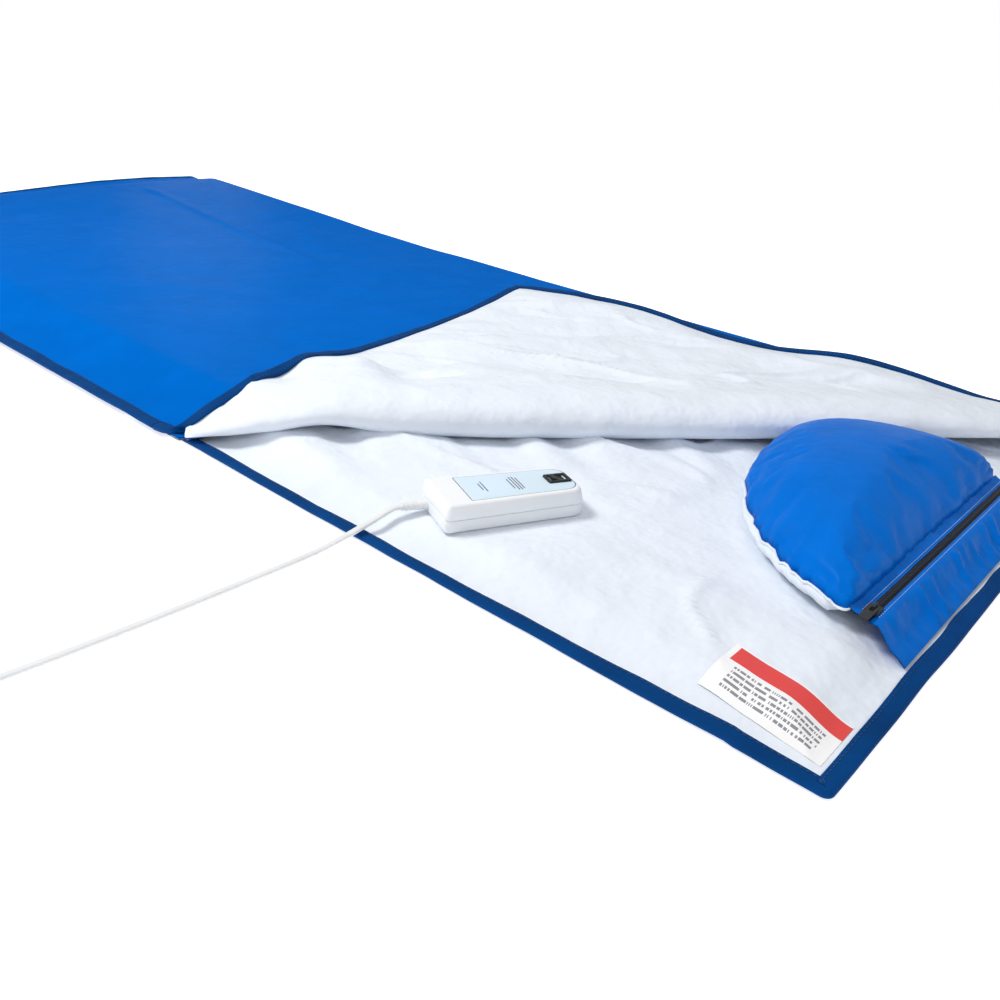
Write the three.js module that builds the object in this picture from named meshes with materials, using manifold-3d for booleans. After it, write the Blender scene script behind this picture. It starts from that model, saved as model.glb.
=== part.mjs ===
// Infrared sauna blanket: a quilt folded in half along its far edge, with its near head corner
// turned back, a pillow zipped to the head end and a wired controller lying on the lining.
// Millimetres. +X to the head end, +Y to the fold, +Z up. Origin under the middle, on the floor.
import * as THREE from "three";
import { mergeVertices } from "three/addons/utils/BufferGeometryUtils.js";
import Module from "manifold-3d";

const wasm = await Module();
wasm.setup();
const { Manifold, Mesh } = wasm;

// ---- driving dimensions ----
const LENGTH = 1800;          // head to foot
const WIDTH = 750;            // folded width, half of the open quilt
const OVERHANG = 12;          // how far the cover and the fold pass the mat, near and far
const FOLD_BACK = 630;        // least of the near edge that is turned back
const SHEET = 1.0;            // coated nylon
const FELT = 5.0;             // needled felt wadding
const FILM = 0.6;             // aluminised reflective film
const CARRIER = 0.8;          // cloth that carries the heater
const CABLE = 1.8;            // heater cable
const GAP = 0.3;              // between neighbouring pieces
const BODY_GAP = 8.4;         // air between the two linings, where the body lies
const BINDING_WIDTH = 16;
const BINDING_HEIGHT = 4.5;
const BINDING_WALL = 0.8;
const ROLL_HEIGHT = 26;       // how far the turned corner stands above the cover
const PILLOW_WIDTH = 370;     // across the blanket
const PILLOW_DEPTH = 176;     // along the blanket, without zip and strip
const PILLOW_HEIGHT = 64;
const PILLOW_Y = -32;
const PILLOW_INSET = 62;      // from its straight side to the head edge
const ZIP_LENGTH = 352;
const BOX_LENGTH = 128;
const BOX_WIDTH = 57;
const BOX_HEIGHT = 24;
const BOX_INSET = [336, 113]; // middle of the controller, from the head and near edges
const BOX_TURN = 65.4;        // degrees from +X
const CORD_LENGTH = 2000;
const CORD_R = 2.9;           // round stand-in for a flat twin cord
const COIL_R = 33;            // to the middle of the bundle

const HX = LENGTH / 2;
const HY = WIDTH / 2;
const NEAR = -HY - OVERHANG;  // the cover's near edge
const PILLOW_BACK = HX - PILLOW_INSET;
const BOX_AT = [HX - BOX_INSET[0], -HY + BOX_INSET[1]];

// ---- heights of the stack ----
const FELT_Z = SHEET + GAP;
const FILM_Z = FELT_Z + FELT + GAP;
const CARRIER_Z = FILM_Z + FILM + GAP;
const CABLE_Z = CARRIER_Z + CARRIER + GAP;
const LINING_Z = CABLE_Z + CABLE + GAP;
const MAT_TOP = LINING_Z + SHEET;
const COVER_Z = MAT_TOP + BODY_GAP;
const C_CARRIER_Z = COVER_Z + SHEET + GAP;
const C_CABLE_Z = C_CARRIER_Z + CARRIER + GAP;
const C_FILM_Z = C_CABLE_Z + CABLE + GAP;
const C_FELT_Z = C_FILM_Z + FILM + GAP;
const C_OUTER_Z = C_FELT_Z + FELT + GAP;
const COVER_TOP = C_OUTER_Z + SHEET;
const FLAP_Z = COVER_TOP + 0.4;
const F_FELT_Z = FLAP_Z + SHEET + GAP;
const F_LINING_Z = F_FELT_Z + FELT + GAP;
const FLAP_TOP = F_LINING_Z + SHEET;

// ---- materials ----
const mat = (color, roughness, metalness = 0) =>
  new THREE.MeshStandardMaterial({ color, roughness, metalness });
const BLUE = mat(0x0a4fc4, 0.4);
const NAVY = mat(0x0b2f66, 0.7);
const WHITE = mat(0xe9edf5, 0.55);
const FELT_M = mat(0xd9d4c6, 0.95);
const FILM_M = mat(0xc9ccd0, 0.25, 0.8);
const CARRIER_M = mat(0xcfc7b4, 0.9);
const CABLE_M = mat(0xb5452f, 0.5);
const SHELL_M = mat(0xf2f4f5, 0.4);
const PANEL_M = mat(0xd5e6f3, 0.35);
const BLACK = mat(0x16191a, 0.45);
const BOARD_M = mat(0x1f6b3a, 0.5);
const STEEL = mat(0xb8bcc0, 0.35, 0.9);
const BRASS = mat(0xc8a558, 0.3, 0.9);
const LABEL_M = mat(0xf5f3f2, 0.6);
const CORD_M = mat(0xe6e8ea, 0.5);
const FOAM_M = mat(0xf0ead2, 0.9);
const ZIP_M = mat(0x1b1f26, 0.6);

// ---- solids ----
const solid = (geometry) => {
  const g = geometry.clone();
  g.deleteAttribute("normal");
  g.deleteAttribute("uv");
  const m = mergeVertices(g, 1e-4);
  return new Manifold(new Mesh({
    numProp: 3,
    vertProperties: new Float32Array(m.attributes.position.array),
    triVerts: new Uint32Array(m.index.array),
  }));
};

const surface = (manifold) => {
  const m = manifold.getMesh();
  const g = new THREE.BufferGeometry();
  g.setAttribute("position", new THREE.BufferAttribute(new Float32Array(m.vertProperties), 3));
  g.setIndex(new THREE.BufferAttribute(new Uint32Array(m.triVerts), 1));
  g.computeVertexNormals();
  return g;
};

const group = new THREE.Group();
group.name = "infrared_sauna_blanket";
const add = (name, shape, material) => {
  const mesh = new THREE.Mesh(shape instanceof THREE.BufferGeometry ? shape : surface(shape),
    material);
  mesh.name = name;
  group.add(mesh);
  return mesh;
};

// a flat outline, as [x, y] points, raised from z0 to z1
const prism = (points, z0, z1) => {
  const shape = new THREE.Shape(points.map(([x, y]) => new THREE.Vector2(x, y)));
  const g = new THREE.ExtrudeGeometry(shape, { depth: z1 - z0, bevelEnabled: false });
  return solid(g.translate(0, 0, z0));
};
const block = (x0, x1, y0, y1, z0, z1) =>
  prism([[x0, y0], [x1, y0], [x1, y1], [x0, y1]], z0, z1);
const pin = (x, y, r, z0, z1, sides = 12) => {
  const g = new THREE.CylinderGeometry(r, r, z1 - z0, sides);
  return solid(g.rotateX(Math.PI / 2).translate(x, y, (z0 + z1) / 2));
};

// a closed layer between two height functions over the grid xs by ys
const layer = (xs, ys, low, high) => {
  const p = [];
  const tris = [];
  const n = ys.length;
  for (const f of [low, high]) for (const x of xs) for (const y of ys) p.push(x, y, f(x, y));
  const at = (i, j, top) => (top ? xs.length * n : 0) + i * n + j;
  const quad = (a, b, c, d) => tris.push(a, b, c, a, c, d);
  for (let i = 0; i + 1 < xs.length; i++) {
    for (let j = 0; j + 1 < n; j++) {
      quad(at(i, j, 1), at(i + 1, j, 1), at(i + 1, j + 1, 1), at(i, j + 1, 1));
      quad(at(i, j, 0), at(i, j + 1, 0), at(i + 1, j + 1, 0), at(i + 1, j, 0));
    }
    quad(at(i, 0, 0), at(i + 1, 0, 0), at(i + 1, 0, 1), at(i, 0, 1));
    quad(at(i, n - 1, 1), at(i + 1, n - 1, 1), at(i + 1, n - 1, 0), at(i, n - 1, 0));
  }
  const m = xs.length - 1;
  for (let j = 0; j + 1 < n; j++) {
    quad(at(0, j, 1), at(0, j + 1, 1), at(0, j + 1, 0), at(0, j, 0));
    quad(at(m, j, 0), at(m, j + 1, 0), at(m, j + 1, 1), at(m, j, 1));
  }
  const g = new THREE.BufferGeometry();
  g.setAttribute("position", new THREE.BufferAttribute(new Float32Array(p), 3));
  g.setIndex(tris);
  return solid(g);
};

// straight-sided loft through outlines with equal point counts, [{ points, z }]
const loft = (sections) => {
  const n = sections[0].points.length;
  const p = sections.flatMap(({ points, z }) => points.flatMap(([x, y]) => [x, y, z]));
  const tris = [];
  for (let k = 0; k + 1 < sections.length; k++) {
    for (let i = 0; i < n; i++) {
      const a = k * n + i;
      const b = k * n + ((i + 1) % n);
      tris.push(a, b, b + n, a, b + n, a + n);
    }
  }
  const cap = THREE.ShapeUtils.triangulateShape(
    sections[0].points.map(([x, y]) => new THREE.Vector2(x, y)), []);
  const top = (sections.length - 1) * n;
  for (const [a, b, c] of cap) tris.push(a, c, b, top + a, top + b, top + c);
  const g = new THREE.BufferGeometry();
  g.setAttribute("position", new THREE.BufferAttribute(new Float32Array(p), 3));
  g.setIndex(tris);
  return solid(g);
};

// a profile in the plane across the direction from a to b, extruded between them;
// its first coordinate is distance to the left of that direction, its second is height
const along = (profile, a, b) => {
  const shape = new THREE.Shape(profile.map(([d, z]) => new THREE.Vector2(d, z)));
  const length = Math.hypot(b[0] - a[0], b[1] - a[1]);
  const u = [(b[0] - a[0]) / length, (b[1] - a[1]) / length];
  const g = new THREE.ExtrudeGeometry(shape, { depth: length, bevelEnabled: false });
  const m = new THREE.Matrix4().makeBasis(new THREE.Vector3(-u[1], u[0], 0),
    new THREE.Vector3(0, 0, 1), new THREE.Vector3(u[0], u[1], 0));
  return solid(g.applyMatrix4(m.setPosition(a[0], a[1], 0)));
};

const tube = (points, r, sides, steps) => {
  const curve = new THREE.CatmullRomCurve3(points.map((q) => new THREE.Vector3(...q)));
  const ring = Array.from({ length: sides }, (_, i) => new THREE.Vector2(
    r * Math.cos((2 * Math.PI * i) / sides), r * Math.sin((2 * Math.PI * i) / sides)));
  return new THREE.ExtrudeGeometry(new THREE.Shape(ring),
    { steps, bevelEnabled: false, extrudePath: curve });
};

const smooth = (t) => {
  const c = Math.min(1, Math.max(0, t));
  return c * c * (3 - 2 * c);
};
const mix = (a, b, t) => a + (b - a) * t;
const range = (a, b, n) => Array.from({ length: n + 1 }, (_, i) => mix(a, b, i / n));

// ---- the mat ----
const PINCH = [0, 16, 24, 34, 46, 60];
const edgeGrid = (lo, hi, n, lowPinch = true, highPinch = true) => {
  const a = lowPinch ? PINCH.map((d) => lo + d) : [lo];
  const b = highPinch ? PINCH.map((d) => hi - d).reverse() : [hi];
  return [...a, ...range(a.at(-1), b[0], n).slice(1, -1), ...b];
};
const XS = edgeGrid(-HX + 1.1, HX - 1.1, 6);
const YS = edgeGrid(-HY + 1.1, HY - GAP, 4, true, false);
// 0 at a bound edge, 1 in the belly
const puff = (x, y) => smooth((Math.min(x + HX, HX - x, y + HY) - 17) / 41);
const matLayer = (edge, belly, thick, xs = XS, ys = YS) => layer(xs, ys,
  (x, y) => mix(edge, belly, puff(x, y)), (x, y) => mix(edge, belly, puff(x, y)) + thick);

const FLOOR_LIP = BINDING_WALL + GAP;
const inset = (xs, d) => xs.map((x) => Math.sign(x) * Math.min(Math.abs(x), HX - d));
const uniq = (v) => v.filter((x, i) => i === 0 || x > v[i - 1] + 1e-6);
const innerXs = uniq(inset(XS, 20));
const innerYs = uniq(YS.map((y) => Math.max(y, -HY + 20)));
const coreXs = range(-HX + 60, HX - 60, 4);
const coreYs = range(-HY + 60, HY - GAP, 2);

const leadHole = pin(BOX_AT[0], BOX_AT[1], 3.4, 0.2, MAT_TOP + 2, 16);
add("mat_outer_sheet", matLayer(FLOOR_LIP, 0, SHEET), BLUE);
{
  // wadding thins to almost nothing where the quilt is pinched
  const low = (x, y) => mix(FLOOR_LIP, 0, puff(x, y)) + SHEET + GAP;
  const high = (x, y) => low(x, y) + mix(0.8, FELT, smooth(puff(x, y) * 1.6));
  const xs = [-HX + 46, ...range(-HX + 59, HX - 59, 4), HX - 46];
  const ys = [-HY + 46, ...range(-HY + 59, HY - GAP, 2)];
  add("mat_insulation_felt", layer(xs, ys, low, high), FELT_M);
}
const flat = (xs, ys, z, t) => layer(xs, ys, () => z, () => z + t);
add("mat_reflective_film", flat(coreXs, coreYs, FILM_Z, FILM), FILM_M);
add("mat_heater_carrier", flat(coreXs, coreYs, CARRIER_Z, CARRIER), CARRIER_M);
add("mat_lining",
  matLayer(BINDING_HEIGHT - BINDING_WALL - GAP - SHEET, LINING_Z, SHEET).subtract(leadHole), WHITE);

// one continuous serpentine, as a flat ribbon outline
const serpentine = (x0, x1, y0, y1, passes, w, z) => {
  const step = (y1 - y0) / (passes - 1);
  let body = null;
  const join = (s) => { body = body ? body.add(s) : s; };
  for (let k = 0; k < passes; k++) {
    const y = y0 + k * step;
    join(block(x0, x1, y - w / 2, y + w / 2, z, z + CABLE));
    if (k + 1 < passes) {
      const x = k % 2 ? x0 : x1;
      join(block(x - w / 2, x + w / 2, y - w / 2, y + step + w / 2, z, z + CABLE));
    }
  }
  return body;
};
add("mat_heater_cable", serpentine(-HX + 140, HX - 430, -HY + 125, HY - 75, 6, 3, CABLE_Z), CABLE_M);

// ---- edge binding: a folded tape, open towards the quilt ----
const clip = (z0 = 0) => {
  const h = BINDING_HEIGHT;
  const t = BINDING_WALL;
  const w = BINDING_WIDTH;
  return [[0, z0 + t * 0.6], [t * 0.6, z0], [w, z0], [w, z0 + t], [t, z0 + t], [t, z0 + h - t],
    [w, z0 + h - t], [w, z0 + h], [t * 0.6, z0 + h], [0, z0 + h - t * 0.6]];
};
add("mat_binding_near", along(clip(), [-HX, -HY], [HX, -HY]), NAVY);
add("mat_binding_head",
  along(clip(), [HX, -HY + BINDING_WIDTH + GAP], [HX, HY - GAP]), NAVY);
add("mat_binding_foot",
  along(clip(), [-HX, HY - GAP], [-HX, -HY + BINDING_WIDTH + GAP]), NAVY);

// ---- pillow outline ----
const dee = (scale, inset, n = 28) => {
  // half an ellipse with a straight side towards the head
  const a = (PILLOW_WIDTH / 2 - inset) * scale;
  const b = (PILLOW_DEPTH - inset * 2) * scale;
  const back = PILLOW_BACK - inset - ((PILLOW_DEPTH - inset * 2) * (1 - scale)) * 0.42;
  return Array.from({ length: n }, (_, i) => {
    const t = (Math.PI * i) / (n - 1);
    const c = Math.sign(Math.cos(t)) * Math.abs(Math.cos(t)) ** 0.9;
    return [back - b * Math.sin(t) ** 0.86, PILLOW_Y + a * c];
  });
};

// ---- the cover, cut off along the turned-back corner ----
const FH = [HX, HY - GAP];
const ROLL_OUT = 20;          // how far the roll stands past the fold line, and a little air
// how far the pillow reaches over a fold line that takes f off the near edge
const reach = (f) => Math.max(...dee(1, 0).map(([x, y]) =>
  ((FH[0] - x) * (FH[1] - NEAR) - (FH[1] - y) * f) / Math.hypot(f, FH[1] - NEAR)));
let fold = FOLD_BACK;
while (reach(fold) > -ROLL_OUT && fold < LENGTH - 200) fold += 5;
const P0 = [HX - fold, NEAR];
const foldLen = Math.hypot(FH[0] - P0[0], FH[1] - P0[1]);
const U = [(FH[0] - P0[0]) / foldLen, (FH[1] - P0[1]) / foldLen];   // along the fold line
const N = [-U[1], U[0]];                                          // towards the foot
const mirror = ([x, y]) => {
  const d = (x - P0[0]) * N[0] + (y - P0[1]) * N[1];
  return [x - 2 * d * N[0], y - 2 * d * N[1]];
};
const shift = ([x, y], s, d) => [x + s * U[0] + d * N[0], y + s * U[1] + d * N[1]];
const TIP = mirror([HX, NEAR]);                                   // where the corner now lies

const coverPuff = (x, y) => smooth((Math.min(x + HX, y - NEAR) - 17) / 71);
const coverCut = prism([shift(P0, -1300, 0.1), shift(FH, 400, 0.1), shift(FH, 400, 2600),
  shift(P0, -1300, 2600)], -50, 200);
const C_PINCH = [0, 16, 26, 40, 56, 72, 90];
const CX = [...C_PINCH.map((d) => -HX + 1.1 + d), ...range(-HX + 91.1, HX, 7).slice(1)];
const CY = [...C_PINCH.map((d) => NEAR + 1.1 + d), ...range(NEAR + 91.1, HY - GAP, 4).slice(1)];
const REST = BINDING_HEIGHT + GAP;                                // cover edge on mat edge
const coverLayer = (edge, belly, thick) => layer(CX, CY,
  (x, y) => mix(edge, belly, coverPuff(x, y)),
  (x, y) => mix(edge, belly, coverPuff(x, y)) + thick).intersect(coverCut);
add("cover_lining", coverLayer(REST + FLOOR_LIP, COVER_Z, SHEET), WHITE);
add("cover_outer_sheet",
  coverLayer(REST + BINDING_HEIGHT - BINDING_WALL - GAP - SHEET, C_OUTER_Z, SHEET), BLUE);
const coreEdge = 96;
const cxs = range(-HX + coreEdge, HX, 6);
const cys = range(NEAR + coreEdge, HY - GAP, 3);
add("cover_heater_carrier", flat(cxs, cys, C_CARRIER_Z, CARRIER).intersect(coverCut), CARRIER_M);
add("cover_reflective_film", flat(cxs, cys, C_FILM_Z, FILM).intersect(coverCut), FILM_M);
{
  const low = (x, y) => mix(REST + FLOOR_LIP + SHEET + 0.1, C_FELT_Z, coverPuff(x, y)) + 0.2;
  const high = (x, y) => low(x, y) + mix(0.1, FELT - 0.2, coverPuff(x, y));
  const xs = [-HX + 56, -HX + 72, ...range(-HX + 90, HX, 6)];
  const ys = [NEAR + 56, NEAR + 72, ...range(NEAR + 90, HY - GAP, 3)];
  add("cover_insulation_felt", layer(xs, ys, low, high).intersect(coverCut), FELT_M);
}
add("cover_heater_cable", serpentine(-HX + 140, P0[0] - 120, -HY + 135, HY - 75, 6, 3, C_CABLE_Z), CABLE_M);
add("cover_binding_near",
  along(clip(REST), [-HX, NEAR], [P0[0] + 40, NEAR]).intersect(coverCut), NAVY);
add("cover_binding_foot",
  along(clip(REST), [-HX, HY - GAP], [-HX, NEAR + BINDING_WIDTH + GAP]), NAVY);

// ---- the fold along the far edge, from the mat's underside round to the cover's top ----
const bow = (r, h, z, n) => Array.from({ length: n + 1 }, (_, i) => {
  const a = -Math.PI / 2 + (Math.PI * i) / n;
  return [HY + r * Math.cos(a), z + h * Math.sin(a)];
});
const spine = (r, z0, z1, wall, n = 10) => {
  const mid = (z0 + z1) / 2;
  const h = (z1 - z0) / 2;
  const out = bow(r, h, mid, n);
  const inn = bow(r - wall, h - wall, mid, n).reverse();
  return along([...out, ...inn].map(([y, z]) => [y, z]), [-HX, 0], [HX, 0]);
};
add("fold_outer_sheet", spine(OVERHANG, 0, COVER_TOP, SHEET), BLUE);
add("fold_insulation_felt",
  spine(OVERHANG - SHEET - GAP, SHEET + GAP, COVER_TOP - SHEET - GAP, 4), FELT_M);
add("fold_lining",
  spine(OVERHANG - SHEET - 2 * GAP - 4, SHEET + 2 * GAP + 4, COVER_TOP - SHEET - 2 * GAP - 4, SHEET),
  WHITE);

// ---- the turned-back corner ----
// flap coordinates: from the corner's tip, a along its head edge, b along its near edge
const A = [(FH[0] - TIP[0]) / Math.hypot(FH[0] - TIP[0], FH[1] - TIP[1]),
  (FH[1] - TIP[1]) / Math.hypot(FH[0] - TIP[0], FH[1] - TIP[1])];
const B = [A[1], -A[0]];
const AL = Math.hypot(FH[0] - TIP[0], FH[1] - TIP[1]);
const BL = fold;
const toFlap = (m) => m.transform([B[0], B[1], 0, 0, A[0], A[1], 0, 0, 0, 0, 1, 0,
  TIP[0], TIP[1], 0, 1]);
const flapPuff = (b, a) => smooth((Math.min(a, b) - 17) / 41);
const flapGrid = (len) => [...PINCH.map((d) => 1.1 + d), ...range(61.1, len, 6).slice(1)];
const flapCut = (d0) => prism([shift(P0, -400, d0), shift(FH, 400, d0), shift(FH, 400, 900),
  shift(P0, -400, 900)], -50, 200);
const flapLayer = (edge, belly, thick, d0) => toFlap(layer(flapGrid(BL), flapGrid(AL),
  (b, a) => mix(edge, belly, flapPuff(b, a)),
  (b, a) => mix(edge, belly, flapPuff(b, a)) + thick)).intersect(flapCut(d0));
const ROLL = 84;                                                  // width of the puffy roll
add("flap_outer_sheet", flapLayer(FLAP_Z + FLOOR_LIP, FLAP_Z, SHEET, 4), BLUE);
add("flap_lining",
  flapLayer(FLAP_Z + BINDING_HEIGHT - BINDING_WALL - GAP - SHEET, F_LINING_Z, SHEET, ROLL), WHITE);
{
  const low = (b, a) => mix(FLAP_Z + FLOOR_LIP, FLAP_Z, flapPuff(b, a)) + SHEET + GAP;
  const high = (b, a) => low(b, a) + mix(0.3, FELT, flapPuff(b, a));
  const felt = toFlap(layer(range(40, BL, 8), range(40, AL, 9), low, high));
  add("flap_insulation_felt", felt.intersect(flapCut(ROLL)), FELT_M);
}
const tipIn = (a, b) => [TIP[0] + a * A[0] + b * B[0], TIP[1] + a * A[1] + b * B[1]];
add("flap_binding_near",
  along(clip(FLAP_Z), tipIn(0, BL + 30), tipIn(0, -0)).intersect(flapCut(ROLL)), NAVY);
add("flap_binding_head",
  along(clip(FLAP_Z), tipIn(BINDING_WIDTH + GAP, 0), tipIn(AL + 30, 0)).intersect(flapCut(ROLL)), NAVY);
{
  // the roll: the lining runs from under the cover round to the flap's top
  const top = COVER_TOP + ROLL_HEIGHT;
  const path = [[-0.4, COVER_Z], [-11, COVER_Z + 3], [-18, COVER_Z + 14], [-16, COVER_Z + 26],
    [-4, top - 1], [16, top], [38, top - 5], [60, FLAP_TOP + 5], [ROLL - 0.4, FLAP_TOP]];
  const curve = new THREE.SplineCurve(path.map(([d, z]) => new THREE.Vector2(d, z)));
  const outer = curve.getPoints(20);
  const inner = outer.map((q, i) => {
    const a = outer[Math.max(0, i - 1)];
    const b = outer[Math.min(20, i + 1)];
    const t = b.clone().sub(a).normalize();
    return [q, t];
  });
  const off = (w) => inner.map(([q, t]) => [q.x + t.y * w, q.y - t.x * w]);
  const skin = [...off(0), ...off(SHEET).reverse()];
  const core = off(SHEET + GAP).slice(1, -1);
  const seat = FLAP_Z + FLOOR_LIP + SHEET + GAP;
  core.push([ROLL - 1.6, seat], [0.6, seat], [-0.4, seat]);
  core[0] = [-0.4, core[0][1]];
  const limit = prism([shift(P0, 0, 0), [P0[0] + 70, P0[1]], [HX, HY - 86], FH, TIP], -50, 200);
  const long = [shift(P0, -60, 0), shift(FH, 60, 0)];
  add("flap_roll_lining", along(skin, ...long).intersect(limit), WHITE);
  add("flap_roll_felt", along(core, ...long).intersect(limit), FELT_M);
}

// ---- pillow ----
const PZ = MAT_TOP + GAP;
const SEAM = 0.26;                                                // share of height below the seam
const pillowBody = (inset) => {
  const h = PILLOW_HEIGHT - 2 * inset;
  const mid = PZ + PILLOW_HEIGHT * SEAM;
  const zs = [-0.26, -0.21, -0.1, 0, 0.15, 0.35, 0.52, 0.65, 0.74];
  const sc = [0.68, 0.86, 0.965, 1, 0.98, 0.88, 0.72, 0.5, 0.2];
  return loft(zs.map((z, i) => ({ points: dee(sc[i], inset), z: mid + z * h })));
};
const seamZ = PZ + PILLOW_HEIGHT * SEAM;
const above = block(500, 1000, -400, 400, seamZ + GAP / 2, 200);
const below = block(500, 1000, -400, 400, -20, seamZ - GAP / 2);
const pillowSkin = pillowBody(0).subtract(pillowBody(SHEET));
add("pillow_top_panel", pillowSkin.intersect(above), BLUE);
add("pillow_bottom_panel", pillowSkin.intersect(below), WHITE);
add("pillow_filling", pillowBody(SHEET + GAP), FOAM_M);

// ---- zip between the pillow's straight side and the strip ----
const ZIP_X = PILLOW_BACK + 11.5;
const ZIP_Z = seamZ - 2.2;
const z0 = PILLOW_Y - ZIP_LENGTH / 2;
const z1 = PILLOW_Y + ZIP_LENGTH / 2;
const tooth = 6;
const comb = (side) => {
  const points = [[ZIP_X + side * 3.2, z0], [ZIP_X + side * 3.2, z1]];
  const n = Math.floor((ZIP_LENGTH - 8) / tooth);
  for (let k = n - 1; k >= 0; k--) {
    const y = z0 + 4 + k * tooth + (side > 0 ? tooth / 2 : 0);
    points.push([ZIP_X + side * 1.4, y + 1.4], [ZIP_X - side * 0.5, y + 0.9],
      [ZIP_X - side * 0.5, y - 0.9], [ZIP_X + side * 1.4, y - 1.4]);
  }
  return prism(points, ZIP_Z - 1, ZIP_Z + 1);
};
add("zip_teeth_pillow_side", comb(-1), ZIP_M);
add("zip_teeth_strip_side", comb(1), ZIP_M);
add("zip_tape_pillow_side",
  block(PILLOW_BACK + 0.3, ZIP_X - 3.5, z0 - 4, z1 + 4, ZIP_Z - 0.5, ZIP_Z + 0.5), ZIP_M);
add("zip_tape_strip_side",
  block(ZIP_X + 3.5, ZIP_X + 11, z0 - 4, z1 + 4, ZIP_Z - 0.5, ZIP_Z + 0.5), ZIP_M);
add("zip_stop_far", block(ZIP_X - 3.1, ZIP_X + 3.1, z1 + 0.4, z1 + 3.6, ZIP_Z - 1.4, ZIP_Z + 1.4),
  ZIP_M);
// the strip, from under the outer tape down to the lining beside the head binding
const STRIP_X = HX - BINDING_WIDTH - GAP;
add("pillow_strip", along(
  [[ZIP_X + 4.2, ZIP_Z - 0.8], [ZIP_X + 4.2, ZIP_Z - 1.8], [ZIP_X + 10.8, ZIP_Z - 2],
    [ZIP_X + 18, PZ + 1.2], [STRIP_X, BINDING_HEIGHT - 0.75], [STRIP_X, BINDING_HEIGHT + 0.25],
    [ZIP_X + 19.2, PZ + 2.4], [ZIP_X + 12.2, ZIP_Z - 0.8]].map(([x, z]) => [-x, z]),
  [0, z0 - 8], [0, z1 + 8]), BLUE);

// slider: a saddle over both rows of teeth, open below, with its pull hinged on a bail
const SLIDE_Y = z0 + 9;
{
  const plate = block(ZIP_X - 5, ZIP_X + 5, SLIDE_Y - 6.5, SLIDE_Y + 6.5, ZIP_Z + 1.3, ZIP_Z + 2.9);
  const bail = block(ZIP_X - 1, ZIP_X + 1, SLIDE_Y - 4.5, SLIDE_Y + 4.5, ZIP_Z + 2.8, ZIP_Z + 6.4)
    .subtract(block(ZIP_X - 2, ZIP_X + 2, SLIDE_Y - 3, SLIDE_Y + 3, ZIP_Z + 2.8, ZIP_Z + 5.2));
  add("zip_slider_body", plate.add(bail), ZIP_M);
  const y = SLIDE_Y - 1.6;
  const tab = block(ZIP_X - 3.6, ZIP_X + 3.6, y - 20, y + 1, ZIP_Z + 3.4, ZIP_Z + 4.7)
    .subtract(block(ZIP_X - 1.4, ZIP_X + 1.4, y - 6, y - 0.8, ZIP_Z, ZIP_Z + 9));
  add("zip_pull_tab", tab, ZIP_M);
}

// ---- care label, its end under the head binding ----
{
  const label = [[HX - 104, -HY + 33], [HX - 104, -HY + 83], [HX - 17, -HY + 72],
    [HX - 17, -HY + 22]];
  const low = (x, y) => GAP + SHEET
    + mix(BINDING_HEIGHT - BINDING_WALL - GAP - SHEET, LINING_Z, puff(x, y));
  add("care_label", layer(XS, YS, low, (x, y) => low(x, y) + 0.5)
    .intersect(prism(label, -5, 60)), LABEL_M);
}

// ---- controller ----
const turn = (BOX_TURN * Math.PI) / 180;
const BZ = MAT_TOP + GAP;
const placeBox = (m) => m.transform([Math.cos(turn), Math.sin(turn), 0, 0,
  -Math.sin(turn), Math.cos(turn), 0, 0, 0, 0, 1, 0, BOX_AT[0], BOX_AT[1], BZ, 1]);
// outline with square corners at the cord end and a rounded head end
const boxOutline = (inset, taper = 0) => {
  const l = BOX_LENGTH / 2 - inset;
  const w = BOX_WIDTH / 2 - inset;
  const q = Math.max(1.2, 5 - inset);
  const pts = [];
  const corner = (x, y, r, from) => {
    for (let i = 0; i <= 5; i++) {
      const a = ((from + 18 * i) * Math.PI) / 180;
      pts.push([x + r * Math.cos(a), y + r * Math.sin(a)]);
    }
  };
  const r = Math.max(2, 13 - inset);
  corner(l - taper - r, w - 3.5 - r, r, 0);
  corner(-l + q, w - q, q, 90);
  corner(-l + q, -w + q, q, 180);
  corner(l - taper - r, -w + 3.5 + r, r, 270);
  return pts;
};
const SPLIT = 11;
const WALL = 2;
const boxOuter = loft([{ points: boxOutline(1.2), z: 0 }, { points: boxOutline(0), z: 1.6 },
  { points: boxOutline(0), z: SPLIT }, { points: boxOutline(1, 2), z: BOX_HEIGHT - 2 },
  { points: boxOutline(2.6, 3), z: BOX_HEIGHT }]);
const boxInner = loft([{ points: boxOutline(WALL + 0.6), z: WALL },
  { points: boxOutline(WALL), z: SPLIT }, { points: boxOutline(WALL + 1.6, 2), z: BOX_HEIGHT - 4.4 }]);
const POSTS = [[-50, 18], [-50, -18], [40, 17], [40, -17]];
const slab = (z0b, z1b) => block(-90, 90, -60, 60, z0b, z1b);
let base = boxOuter.subtract(boxInner).intersect(slab(-1, SPLIT - GAP / 2));
for (const x of [-30, 24]) base = base.add(pin(x, -6, 2.5, 1, 5.4 - GAP));
let lid = boxOuter.subtract(boxInner).intersect(slab(SPLIT + GAP / 2, 60));
for (const [x, y] of POSTS) {
  base = base.add(pin(x, y, 4, 1, SPLIT - 1)).subtract(pin(x, y, 1.9, -1, SPLIT + 2))
    .subtract(pin(x, y, 3.3, -1, 2.6));
  lid = lid.add(pin(x, y, 3.6, SPLIT + 0.6, BOX_HEIGHT - 3)).subtract(pin(x, y, 1.2, 0, SPLIT + 7));
}
const ROCK_X = 46;                                               // the switch, towards the head end
const CORD_Y = 14;                                                // where the cord leaves, off middle
const CORD_Z = 6.6;
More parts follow.
